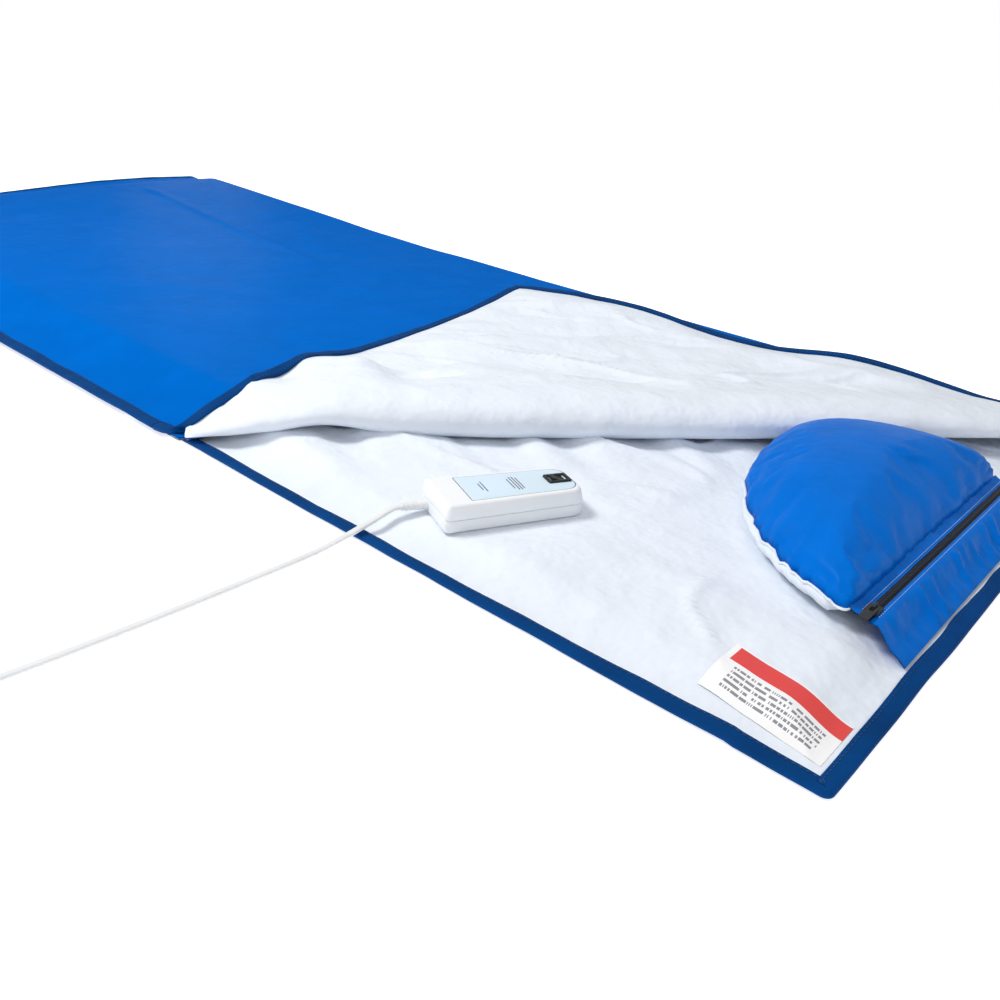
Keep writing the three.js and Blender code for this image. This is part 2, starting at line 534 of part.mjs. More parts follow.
base = base.subtract(block(-BOX_LENGTH / 2 - 4, -BOX_LENGTH / 2 + WALL + 4, CORD_Y - 3.9,
  CORD_Y + 3.9, CORD_Z - 4, 20)).subtract(pin(0, 0, 2.6, -1, 5));
// the inlaid panel's recess and the switch's hole
const panel = (g) => {
  const x0b = -40 - g;
  const r = 12 + g;
  const x1b = 58 + g;
  const w = 22 + g;
  const pts = [[x0b, -w]];
  for (let i = 0; i <= 4; i++) {
    const a = ((-90 + 22.5 * i) * Math.PI) / 180;
    pts.push([x1b - r + r * Math.cos(a), -w + 2 + r + r * Math.sin(a)]);
  }
  for (let i = 0; i <= 4; i++) {
    const a = ((22.5 * i) * Math.PI) / 180;
    pts.push([x1b - r + r * Math.cos(a), w - 2 - r + r * Math.sin(a)]);
  }
  pts.push([x0b, w]);
  return pts;
};
const SW = [21, 15];                                             // switch frame, length and width
const hole = (dx, dy, a, b) => block(ROCK_X - dx / 2, ROCK_X + dx / 2, -dy / 2, dy / 2, a, b);
lid = lid.subtract(prism(panel(0), BOX_HEIGHT - 1.1, 60))
  .subtract(hole(SW[0] - 3, SW[1] - 3, 0, 60));
add("controller_base_shell", placeBox(base), SHELL_M);
add("controller_top_shell", placeBox(lid), SHELL_M);
add("controller_face_plate", placeBox(prism(panel(-0.3), BOX_HEIGHT - 0.8, BOX_HEIGHT + 0.1)
  .subtract(hole(SW[0] - 3, SW[1] - 3, 0, 60))), PANEL_M);
const frame = hole(SW[0], SW[1], BOX_HEIGHT + 0.4, BOX_HEIGHT + 2)
  .add(hole(SW[0] - 3.6, SW[1] - 3.6, BOX_HEIGHT - 9, BOX_HEIGHT + 1))
  .subtract(hole(SW[0] - 6, SW[1] - 6, BOX_HEIGHT - 7.6, BOX_HEIGHT + 3));
add("rocker_switch_frame", placeBox(frame), BLACK);
{
  // the button: a shallow V seen from the side, standing up at its off end
  const z = BOX_HEIGHT;
  const side = [[-6.2, z + 3.6], [-6.2, z - 2.4], [-2, z - 5], [2, z - 5], [6.2, z - 2.4],
    [6.2, z + 0.6], [0, z + 1.2]];
  const button = along(side.map(([x, zz]) => [x, zz]), [0, -(SW[1] - 6.6) / 2], [0, (SW[1] - 6.6) / 2])
    .transform([-1, 0, 0, 0, 0, -1, 0, 0, 0, 0, 1, 0, ROCK_X, 0, 0, 1]);
  add("rocker_button", placeBox(button), BLACK);
}
const board = block(-44, 34, -12.5, 12.5, 5.4, 7);
add("circuit_board", placeBox(board.subtract(pin(0, 0, 2.6, 0, 12))), BOARD_M);
add("relay", placeBox(block(-20, -2, -9, 7, 7.3, BOX_HEIGHT - 6)), BLACK);
add("terminal_block", placeBox(block(-40, -28, -9, 9, 7.3, 15.3)), BOARD_M);
POSTS.forEach(([x, y], i) => {
  const screw = pin(x, y, 2.8, 0.6, 2.3).add(pin(x, y, 0.95, 2, SPLIT + 5.5));
  add(`controller_screw_${i + 1}`, placeBox(screw), STEEL);
});
// tapered strain relief in the cord end, its flange caught inside the wall
const RELIEF = 22;
{
  const bore = CORD_R + GAP;
  const profile = [[bore, -WALL - 3], [4.4, -WALL - 3], [4.4, -WALL - 1], [3.6, -WALL - 1],
    [3.6, 0.5], [5.2, 0.5], [4.1, RELIEF], [bore, RELIEF]];
  const g = new THREE.LatheGeometry([...profile, profile[0]].map(([r, y]) =>
    new THREE.Vector2(r, y)), 16);
  g.rotateZ(Math.PI / 2).translate(-BOX_LENGTH / 2, CORD_Y, CORD_Z);
  add("cord_strain_relief", placeBox(solid(g)), CORD_M);
}
{
  // lead from the board down through the lining to the heater
  const [x, y] = BOX_AT;
  const top = BZ + 12;
  const lead = tube([[x, y, top], [x, y, BZ + 3], [x, y, LINING_Z - 0.2], [x - 8, y, CABLE_Z + 1.1],
    [x - 30, y, CABLE_Z + 1.1], [HX - 402, -HY + 125, CABLE_Z + 1.1]], 0.95, 8, 26);
  add("heater_lead", solid(lead), CORD_M);
}

// ---- mains cord: over the near edge, then coiled on the floor, with its plug ----
const boxPoint = (x, y) => [BOX_AT[0] + x * Math.cos(turn) - y * Math.sin(turn),
  BOX_AT[1] + x * Math.sin(turn) + y * Math.cos(turn)];
const COIL_AT = [HX - 430, -HY - 337];
const LIE = CORD_R + 0.2;                                         // cord lying on the floor
{
  const run = [[...boxPoint(-BOX_LENGTH / 2 + 5, CORD_Y), BZ + CORD_Z],
    [...boxPoint(-BOX_LENGTH / 2 - 8, CORD_Y), BZ + CORD_Z],
    [...boxPoint(-BOX_LENGTH / 2 - RELIEF, CORD_Y), BZ + CORD_Z],
    [...boxPoint(-BOX_LENGTH / 2 - RELIEF - 7, CORD_Y), BZ + CORD_Z - 0.5],
    ...[[388.4, -18, 13.2], [389, -3, LIE + 6.4], [390, 17, LIE + 2.4], [390, 45, LIE + 0.3],
      [389, 105, LIE], [388, 185, LIE], [389, 255, LIE], [391, 293, LIE]]
      .map(([x, y, z]) => [HX - x, -HY - y, z]),
    [COIL_AT[0] + 37, COIL_AT[1] + 23.6, LIE]];
  add("mains_cord_run", solid(tube(run, CORD_R, 8, 44)), CORD_M);
  const ring = new THREE.LatheGeometry(Array.from({ length: 13 }, (_, i) => {
    const a = (2 * Math.PI * (i % 12)) / 12;
    return new THREE.Vector2(COIL_R + 10 * Math.cos(a), 8.8 + 8.6 * Math.sin(a));
  }), 32);
  ring.rotateX(Math.PI / 2).translate(COIL_AT[0], COIL_AT[1], 0);
  add("mains_cord_coil", solid(ring), CORD_M);
  const ty = COIL_AT[1] - COIL_R;
  const tie = block(COIL_AT[0] - 4, COIL_AT[0] + 4, ty - 11, ty + 11, 0, 18.6)
    .subtract(block(COIL_AT[0] - 5, COIL_AT[0] + 5, ty - 10.4, ty + 10.4, 0.15, 17.8));
  add("cord_tie", tie, BLACK);
  const PLUG_AT = [COIL_AT[0] - 84, COIL_AT[1] + 44, 11.3];
  const tail = [[COIL_AT[0] - COIL_R - 11, COIL_AT[1] + 2, LIE],
    [COIL_AT[0] - COIL_R - 14, COIL_AT[1] + 20, LIE + 0.4],
    [COIL_AT[0] - COIL_R - 26, COIL_AT[1] + 37, LIE + 3.6],
    [PLUG_AT[0] + 14, PLUG_AT[1], 10.6], [PLUG_AT[0] + 0.3, PLUG_AT[1], 11.3]];
  add("mains_cord_tail", solid(tube(tail, CORD_R, 8, 16)), CORD_M);
  const plug = loft([[5, 5, 0], [8, 7, 6], [14, 10, 16], [17.5, 11, 26], [18, 11, 38], [17, 10, 40]]
    .map(([w, h, z]) => ({
      points: Array.from({ length: 20 }, (_, i) => {
        const a = (2 * Math.PI * i) / 20;
        return [w * Math.sign(Math.cos(a)) * Math.abs(Math.cos(a)) ** 0.7,
          h * Math.sign(Math.sin(a)) * Math.abs(Math.sin(a)) ** 0.7];
      }),
      z,
    })));
  // plug coordinates: across, up, and out along -X
  const seat = (m) => m.transform([0, -1, 0, 0, 0, 0, 1, 0, -1, 0, 0, 0, ...PLUG_AT, 1]);
  const prong = (y, g, from) => pin(y, 0, 2 + g, from, 59);
  add("plug_body", seat(plug.subtract(prong(9.5, GAP, 30)).subtract(prong(-9.5, GAP, 30))), CORD_M);
  add("plug_pin_a", seat(prong(9.5, 0, 30.3)), BRASS);
  add("plug_pin_b", seat(prong(-9.5, 0, 30.3)), BRASS);
}

export default group;
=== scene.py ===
"""Infrared sauna blanket: a bound quilt folded along its far edge, with its near head corner turned
back, a pillow zipped to the head end, a wired controller and its coiled mains cord."""

import math

import bpy
import numpy as np
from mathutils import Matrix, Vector


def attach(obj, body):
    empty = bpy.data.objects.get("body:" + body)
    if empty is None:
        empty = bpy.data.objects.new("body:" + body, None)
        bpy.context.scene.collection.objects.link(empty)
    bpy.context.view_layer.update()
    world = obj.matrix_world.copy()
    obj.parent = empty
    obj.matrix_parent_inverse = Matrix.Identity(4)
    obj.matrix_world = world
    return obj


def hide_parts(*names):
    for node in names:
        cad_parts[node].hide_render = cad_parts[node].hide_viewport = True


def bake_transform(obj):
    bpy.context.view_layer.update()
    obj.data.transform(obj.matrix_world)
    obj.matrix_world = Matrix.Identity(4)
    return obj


bl_info = {
    "name": "Infrared Sauna Blanket",
    "version": (1, 0, 0),
    "blender": (4, 5, 0),
    "location": "View3D > Sidebar > Sauna Blanket",
    "description": "Builds a folded infrared sauna blanket with its pillow and controller",
    "category": "Add Mesh",
}

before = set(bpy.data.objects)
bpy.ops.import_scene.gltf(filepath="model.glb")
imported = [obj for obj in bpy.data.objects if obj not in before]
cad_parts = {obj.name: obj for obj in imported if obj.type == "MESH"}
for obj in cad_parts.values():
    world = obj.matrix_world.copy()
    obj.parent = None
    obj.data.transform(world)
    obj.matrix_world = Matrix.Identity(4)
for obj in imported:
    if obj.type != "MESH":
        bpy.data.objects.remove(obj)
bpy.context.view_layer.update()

# ---- layout, in millimetres, as the frame has it ----
HX, HY = 900.0, 375.0  # half the folded length and width
NEAR = -387.0  # the cover's near edge, a little past the mat's
MAT_TOP, COVER_LOW, COVER_TOP = 11.7, 20.1, 31.8
PUFF = 17.0  # the quilt starts to rise this far in from its edge
HEM = 4.0  # cloth ends this far inside the tape that binds it
FAR, FAR_TAPE = 372.0, 371.5  # where cloth, and where tape, goes over into the far fold
ROLL = 84.0  # the roll's cloth reaches this far from the fold line, and the flap's goes on from there
LAP = 12.0  # the cover's cloth goes this far past the fold line, in under the roll
# the corner's fold line, from the near edge to the far head corner: U along it, N across it to the foot
P0 = np.array([270.0, NEAR])
FH = np.array([900.0, 374.7])
FOLD = float(np.hypot(*(FH - P0)))
U = (FH - P0) / FOLD
N = np.array([-U[1], U[0]])
_corner = np.array([HX, NEAR]) - P0
TIP = P0 + 2 * U * (_corner @ U) - _corner
TIP_S, TIP_D = float((TIP - P0) @ U), float((TIP - P0) @ N)
PILLOW_BACK, PILLOW_Y, PILLOW_W, PILLOW_D, PILLOW_H = 838.0, -32.0, 370.0, 176.0, 64.0
SEAM_Z = 12.0 + PILLOW_H * 0.26
ZIP_X, ZIP_Z, ZIP_Y0, ZIP_Y1 = 849.5, SEAM_Z - 2.2, -208.0, 144.0
CORNER_STEPS = 10  # in each round corner of the controller's case
BOX_AT, BOX_TURN, BOX_Z = np.array([564.0, -262.0]), math.radians(65.4), 12.0
COIL_AT = np.array([470.0, -712.0])


# ---- numbers ----
def smooth(t):
    t = np.clip(t, 0.0, 1.0)
    return t * t * (3 - 2 * t)


def mix(a, b, t):
    return a + (b - a) * t


def noise(x, y, size, seed):
    """Smooth value noise, -1 to 1, with features about size across."""
    table = np.random.default_rng(seed).random((128, 128)) * 2 - 1
    x, y = np.asarray(x, float) / size, np.asarray(y, float) / size
    i, j = np.floor(x).astype(int), np.floor(y).astype(int)
    u, v = smooth(x - i), smooth(y - j)
    at = lambda a, b: table[a % 128, b % 128]
    return mix(mix(at(i, j), at(i + 1, j), u), mix(at(i, j + 1), at(i + 1, j + 1), u), v)


def ridges(x, y, size, seed, width=0.3):
    """Thin soft creases, 0 to 1, along the zero lines of the noise."""
    return np.clip(1 - np.abs(noise(x, y, size, seed)) / width, 0, 1) ** 1.5


def uneven(lo, hi, fine, coarse, switch):
    """Stations from lo to hi, coarse up to switch and fine after it."""
    a = np.linspace(lo, switch, max(2, int((switch - lo) / coarse)))
    return np.concatenate([a[:-1], np.linspace(switch, hi, max(2, int((hi - switch) / fine)))])


def spline(points, t):
    """A smooth curve through points, at t from 0 to 1, by chord length; points is (k, n) or (k, m, n)."""
    p = np.asarray(points, float)
    flat = p.reshape(len(p), -1)
    q = np.vstack([2 * flat[0] - flat[1], flat, 2 * flat[-1] - flat[-2]])
    x = np.clip(np.asarray(t, float), 0, 1) * (len(p) - 1)
    i = np.minimum(x.astype(int), len(p) - 2)
    f = (x - i)[:, None]
    a, b, c, d = q[i], q[i + 1], q[i + 2], q[i + 3]
    out = 0.5 * (2 * b + (c - a) * f + (2 * a - 5 * b + 4 * c - d) * f**2 + (3 * b - a - 3 * c + d) * f**3)
    return out.reshape((len(x),) + p.shape[1:])


def unit(v):
    return v / np.maximum(np.linalg.norm(v, axis=-1, keepdims=True), 1e-9)


def blunt(v, power):
    """v with its sign kept and its size raised to power: a cosine or sine of it squares off a circle."""
    return np.sign(v) * np.abs(v) ** power


def way_along(path):
    """Distance from the start of a path to each of its points."""
    return np.concatenate([[0], np.cumsum(np.linalg.norm(np.diff(path, axis=0), axis=1))])


def eased(p, times):
    """p with each inner point averaged with its neighbours, times over."""
    p = p.copy()
    for _ in range(times):
        p[1:-1] = (p[:-2] + 2 * p[1:-1] + p[2:]) / 4
    return p


def arcs(corners, steps):
    """Points of quarter circles, one for each (x, y, radius, first angle in degrees)."""
    points = []
    for x, y, r, start in corners:
        for i in range(steps + 1):
            a = math.radians(start + 90 * i / steps)
            points.append((x + r * math.cos(a), y + r * math.sin(a)))
    return np.array(points)


# ---- meshes ----
def in_scene(name, data):
    obj = bpy.data.objects.new(name, data)
    bpy.context.scene.collection.objects.link(obj)
    return obj


def new_mesh(name, verts, faces, materials, uv=None, normals=None):
    """One piece from millimetre vertices, with its faces turned outwards."""
    verts = np.asarray(verts, float)
    quads = np.array([f if len(f) == 4 else (*f, f[-1]) for f in faces])
    a, b, c, d = (verts[quads[:, k]] for k in range(4))
    volume = (np.einsum("ij,ij->i", a, np.cross(b, c)) + np.einsum("ij,ij->i", a, np.cross(c, d))).sum()
    if volume < 0:
        faces = [tuple(reversed(f)) for f in faces]
    mesh = bpy.data.meshes.new(name)
    mesh.from_pydata((verts * 0.001).tolist(), [], [tuple(map(int, f)) for f in faces])
    mesh.polygons.foreach_set("use_smooth", [True] * len(mesh.polygons))
    for m in materials:
        mesh.materials.append(m)
    if uv is not None:
        layer = mesh.uv_layers.new(name="UVMap")
        loops = np.zeros(len(mesh.loops), int)
        mesh.loops.foreach_get("vertex_index", loops)
        layer.data.foreach_set("uv", np.asarray(uv, float)[loops].ravel().tolist())
    if normals is not None:
        mesh.normals_split_custom_set_from_vertices(np.asarray(normals, float).tolist())
    mesh.update()
    return in_scene(name, mesh)


def grid_normals(g):
    return unit(np.cross(np.gradient(g, axis=0), np.gradient(g, axis=1)))


def grid_faces(n, m, start=0, wrap=False):
    i, j = np.meshgrid(np.arange(n - 1), np.arange(m if wrap else m - 1), indexing="ij")
    k = (j + 1) % m
    here, there = start + i * m, start + (i + 1) * m
    return np.stack([here + j, there + j, there + k, here + k], -1).reshape(-1, 4)


def tube_faces(n, m):
    """The walls of n rings of m points each, open at both ends."""
    return [tuple(f) for f in grid_faces(n, m, wrap=True).tolist()]


def shell(name, face, back, materials, normals=None, uv=None):
    """A closed thin piece between two grids of points of the same shape; the first one shows."""
    n, m = face.shape[:2]
    top, low = grid_faces(n, m), grid_faces(n, m, n * m)[:, ::-1]
    ring = [i * m for i in range(n)] + [(n - 1) * m + j for j in range(1, m)]
    ring += [i * m + m - 1 for i in range(n - 2, -1, -1)] + [j for j in range(m - 2, 0, -1)]
    rim = [(ring[k], ring[k - 1], ring[k - 1] + n * m, ring[k] + n * m) for k in range(len(ring))]
    verts = np.concatenate([face.reshape(-1, 3), back.reshape(-1, 3)])
    if normals is not None:
        flat = normals.reshape(-1, 3)
        normals = np.concatenate([flat, -flat])
    if uv is not None:
        uv = np.concatenate([uv.reshape(-1, 2)] * 2)
    faces = [*map(tuple, top.tolist()), *rim, *map(tuple, low.tolist())]
    return new_mesh(name, verts, faces, materials, uv=uv, normals=normals)


def oriented(g, outward):
    """Normals of a grid, turned to the side that outward, one vector, is mostly on."""
    n = grid_normals(g)
    return n if (n @ np.asarray(outward, float)).mean() > 0 else -n


def hoop(name, rings, materials):
    """Rings joined one to the next, and the last one to the first."""
    n, m = rings.shape[:2]
    last = (n - 1) * m
    faces = tube_faces(n, m) + [(last + j, j, (j + 1) % m, last + (j + 1) % m) for j in range(m)]
    return new_mesh(name, rings.reshape(-1, 3), faces, materials)


def sweep(name, path, side, up, profile, materials, closed=False):
    """A closed profile of (side, up) offsets carried along a path, joined up or with flat ends."""
    path, side, up = (np.asarray(v, float) for v in (path, side, up))
    profile = np.asarray(profile, float)
    if profile.ndim == 2:
        profile = np.broadcast_to(profile, (len(path), *profile.shape))
    ring = path[:, None] + side[:, None] * profile[..., :1] + up[:, None] * profile[..., 1:]
    if closed:
        return hoop(name, ring, materials)
    return loft(name, ring, materials)


def loft(name, rings, materials):
    """Rings of the same number of points, joined; the ends are closed with a centre point."""
    rings = np.asarray(rings, float)
    n, m = rings.shape[:2]
    faces = tube_faces(n, m)
    verts = np.vstack([rings.reshape(-1, 3), rings[0].mean(0), rings[-1].mean(0)])
    faces += [(n * m, j, (j + 1) % m) for j in range(m)]
    faces += [(n * m + 1, (n - 1) * m + (j + 1) % m, (n - 1) * m + j) for j in range(m)]
    return new_mesh(name, verts, faces, materials)


# ---- geometry nodes ----
def repeat_tree(name, thing, material):
    """Copies of a small mesh at even steps along a chain of edges, turned to follow it."""
    tree = bpy.data.node_groups.new(name, "GeometryNodeTree")
    face = tree.interface
    face.new_socket("Geometry", in_out="INPUT", socket_type="NodeSocketGeometry")
    for label, value in (("Pitch", 0.004), ("Length", 0.0026), ("Thickness", 0.0007)):
        s = face.new_socket(label, in_out="INPUT", socket_type="NodeSocketFloat")
        s.default_value = value
    face.new_socket("Geometry", in_out="OUTPUT", socket_type="NodeSocketGeometry")
    add, link = tree.nodes.new, tree.links.new
    start, end = add("NodeGroupInput"), add("NodeGroupOutput")
    curve = add("GeometryNodeMeshToCurve")
    resample = add("GeometryNodeResampleCurve")
    resample.mode = "LENGTH"
    tangent = add("GeometryNodeInputTangent")
    align = add("FunctionNodeAlignEulerToVector")
    align.axis = "X"
    if thing == "stitch":
        shape = add("GeometryNodeMeshUVSphere")
        shape.inputs["Segments"].default_value, shape.inputs["Rings"].default_value = 6, 4
        shape.inputs["Radius"].default_value = 0.5
    else:
        shape = add("GeometryNodeMeshCube")
    size = add("ShaderNodeCombineXYZ")
    place = add("GeometryNodeInstanceOnPoints")
    real = add("GeometryNodeRealizeInstances")
    paint = add("GeometryNodeSetMaterial")
    paint.inputs["Material"].default_value = material
    shade = add("GeometryNodeSetShadeSmooth")
    shade.inputs["Shade Smooth"].default_value = thing == "stitch"
    link(start.outputs["Geometry"], curve.inputs["Mesh"])
    link(curve.outputs["Curve"], resample.inputs["Curve"])
    link(start.outputs["Pitch"], resample.inputs["Length"])
    link(tangent.outputs["Tangent"], align.inputs["Vector"])
    link(start.outputs["Length"], size.inputs["X"])
    link(start.outputs["Thickness"], size.inputs["Y"])
    link(start.outputs["Thickness"], size.inputs["Z"])
    link(resample.outputs["Curve"], place.inputs["Points"])
    link(shape.outputs["Mesh"], place.inputs["Instance"])
    link(align.outputs["Rotation"], place.inputs["Rotation"])
    link(size.outputs["Vector"], place.inputs["Scale"])
    link(place.outputs["Instances"], real.inputs["Geometry"])
    link(real.outputs["Geometry"], paint.inputs["Geometry"])
    link(paint.outputs["Geometry"], shade.inputs["Geometry"])
    link(shade.outputs["Geometry"], end.inputs["Geometry"])
    return tree


def repeated(name, lines, thing, material, pitch, length, thickness):
    """A plain mesh of stitches or teeth along lines of points."""
    points, edges, at = [], [], 0
    for line in lines:
        points += (np.asarray(line, float) * 0.001).tolist()
        edges += [(at + i, at + i + 1) for i in range(len(line) - 1)]
        at += len(line)
    mesh = bpy.data.meshes.new(name + "_line")
    mesh.from_pydata(points, edges, [])
    guide = in_scene(name + "_line", mesh)
    tree = repeat_tree(name + "_tree", thing, material)
    mod = guide.modifiers.new("repeat", "NODES")
    mod.node_group = tree
    sizes = {"Pitch": pitch, "Length": length, "Thickness": thickness}
    for s in tree.interface.items_tree:
        if s.in_out == "INPUT" and s.name in sizes:
            mod[s.identifier] = sizes[s.name] * 0.001
    bpy.context.view_layer.update()
    graph = bpy.context.evaluated_depsgraph_get()
    made = bpy.data.meshes.new_from_object(guide.evaluated_get(graph))
    bpy.data.objects.remove(guide)
    return in_scene(name, made)


# ---- materials ----
ROUGH_VARY = 0.08


def finish_of(name, colour, rough, metal=0.0, sheen=0.0, vary=0.06, weave=None, crinkle=(), grain=None,
              specular=0.5, subsurface=0.0, glow=0.0):
    """A cloth, plastic or metal finish: weave, grain and each crinkle are (size in mm, bump strength)."""
    m = bpy.data.materials.new(name)
    m.use_nodes = True
    nt = m.node_tree
    nt.nodes.clear()
    add, link = nt.nodes.new, nt.links.new
    out, bsdf = add("ShaderNodeOutputMaterial"), add("ShaderNodeBsdfPrincipled")
    link(bsdf.outputs[0], out.inputs[0])
    bsdf.inputs["Metallic"].default_value = metal
    bsdf.inputs["Specular IOR Level"].default_value = specular
    if sheen:
        bsdf.inputs["Sheen Weight"].default_value = sheen
        bsdf.inputs["Sheen Roughness"].default_value = 0.4
    if glow:
        bsdf.inputs["Emission Color"].default_value = (1, 1, 1, 1)
        bsdf.inputs["Emission Strength"].default_value = glow
    if subsurface:
        bsdf.inputs["Subsurface Weight"].default_value = subsurface
        bsdf.inputs["Subsurface Scale"].default_value = 0.004
    where = add("ShaderNodeTexCoord").outputs["Object"]

    def texture(size, detail=4.0, roughness=0.55):
        t = add("ShaderNodeTexNoise")
        t.inputs["Scale"].default_value = 1000.0 / size
        t.inputs["Detail"].default_value = detail
        t.inputs["Roughness"].default_value = roughness
        link(where, t.inputs["Vector"])
        return t.outputs["Fac"]

    ramp = add("ShaderNodeValToRGB")
    ramp.color_ramp.elements[0].position, ramp.color_ramp.elements[1].position = 0.3, 0.7
    ramp.color_ramp.elements[0].color = (*(c * (1 - vary) for c in colour), 1)
    ramp.color_ramp.elements[1].color = (*(min(1.0, c * (1 + vary)) for c in colour), 1)
    link(texture(46.0), ramp.inputs["Fac"])
    link(ramp.outputs["Color"], bsdf.inputs["Base Color"])
    spread = add("ShaderNodeMapRange")
    spread.inputs["To Min"].default_value = max(0.02, rough - ROUGH_VARY)
    spread.inputs["To Max"].default_value = min(1.0, rough + ROUGH_VARY)
    link(texture(18.0), spread.inputs["Value"])
    link(spread.outputs["Result"], bsdf.inputs["Roughness"])
    last = None

    def bump(height, strength, distance):
        nonlocal last
        b = add("ShaderNodeBump")
        b.inputs["Strength"].default_value = strength
        b.inputs["Distance"].default_value = distance
        link(height, b.inputs["Height"])
        if last is not None:
            link(last, b.inputs["Normal"])
        last = b.outputs["Normal"]

    for size, strength in crinkle:
        bump(texture(size, 3.0, 0.6), strength, size * 0.00012)
    if weave:
        size, strength = weave
        threads = []
        for axis in ("X", "Y"):
            w = add("ShaderNodeTexWave")
            w.wave_type, w.bands_direction = "BANDS", axis
            w.inputs["Scale"].default_value = 1000.0 / size / 3.1416
            w.inputs["Distortion"].default_value = 0.6
            w.inputs["Detail"].default_value = 1.0
            link(where, w.inputs["Vector"])
            threads.append(w.outputs["Fac"])
        both = add("ShaderNodeMath")
        both.operation = "MAXIMUM"
        link(threads[0], both.inputs[0])
        link(threads[1], both.inputs[1])
        bump(both.outputs[0], strength, 0.0002)
    if grain:
        size, strength = grain
        bump(texture(size, 2.0), strength, 0.0001)
    if last is not None:
        link(last, bsdf.inputs["Normal"])
    return m


def band_finish(name):
    """Satin label: a plain red band along one long side and rows of short grey dashes."""
    m = finish_of(name, (0.95, 0.945, 0.95), 0.45, sheen=0.2, vary=0.02, crinkle=[(9.0, 0.25)],
                  weave=(0.5, 0.15))
    nt = m.node_tree
    add, link = nt.nodes.new, nt.links.new
    bsdf = next(n for n in nt.nodes if n.type == "BSDF_PRINCIPLED")
    base = bsdf.inputs["Base Color"].links[0].from_socket
    uv = add("ShaderNodeUVMap")
    uv.uv_map = "UVMap"
    xy = add("ShaderNodeSeparateXYZ")
    link(uv.outputs["UV"], xy.inputs[0])

    def math_node(op, a, b):
        n = add("ShaderNodeMath")
        n.operation = op
        for k, v in enumerate((a, b)):
            if isinstance(v, (int, float)):
                n.inputs[k].default_value = v
            else:
                link(v, n.inputs[k])
        return n.outputs[0]

    def between(value, low, high):
        above, below = math_node("GREATER_THAN", value, low), math_node("LESS_THAN", value, high)
        return math_node("MULTIPLY", above, below)

    u, v = xy.outputs["X"], xy.outputs["Y"]
    rows_across, cells_along = 11.0, 120.0
    red = math_node("MULTIPLY", between(v, 0.63, 0.97), math_node("GREATER_THAN", u, 0.05))
    rows = math_node("GREATER_THAN", math_node("FRACT", math_node("MULTIPLY", v, rows_across), 0.0), 0.5)
    span, ends = between(v, 0.11, 0.55), between(u, 0.13, 0.9)
    cell = add("ShaderNodeCombineXYZ")
    link(math_node("FLOOR", math_node("MULTIPLY", u, cells_along), 0.0), cell.inputs[0])
    link(math_node("FLOOR", math_node("MULTIPLY", v, rows_across), 0.0), cell.inputs[1])
    white = add("ShaderNodeTexWhiteNoise")
    white.noise_dimensions = "2D"
    link(cell.outputs[0], white.inputs["Vector"])
    dash = math_node("GREATER_THAN", white.outputs["Value"], 0.3)
    grey = math_node("MULTIPLY", math_node("MULTIPLY", rows, span), math_node("MULTIPLY", ends, dash))
    for fac, colour in ((red, (0.78, 0.05, 0.045, 1)), (grey, (0.26, 0.26, 0.29, 1))):
        blend = add("ShaderNodeMix")
        blend.data_type = "RGBA"
        link(fac, blend.inputs["Factor"])
        link(base, blend.inputs["A"])
        blend.inputs["B"].default_value = colour
        base = blend.outputs["Result"]
    link(base, bsdf.inputs["Base Color"])
    return m


MATERIALS = {}


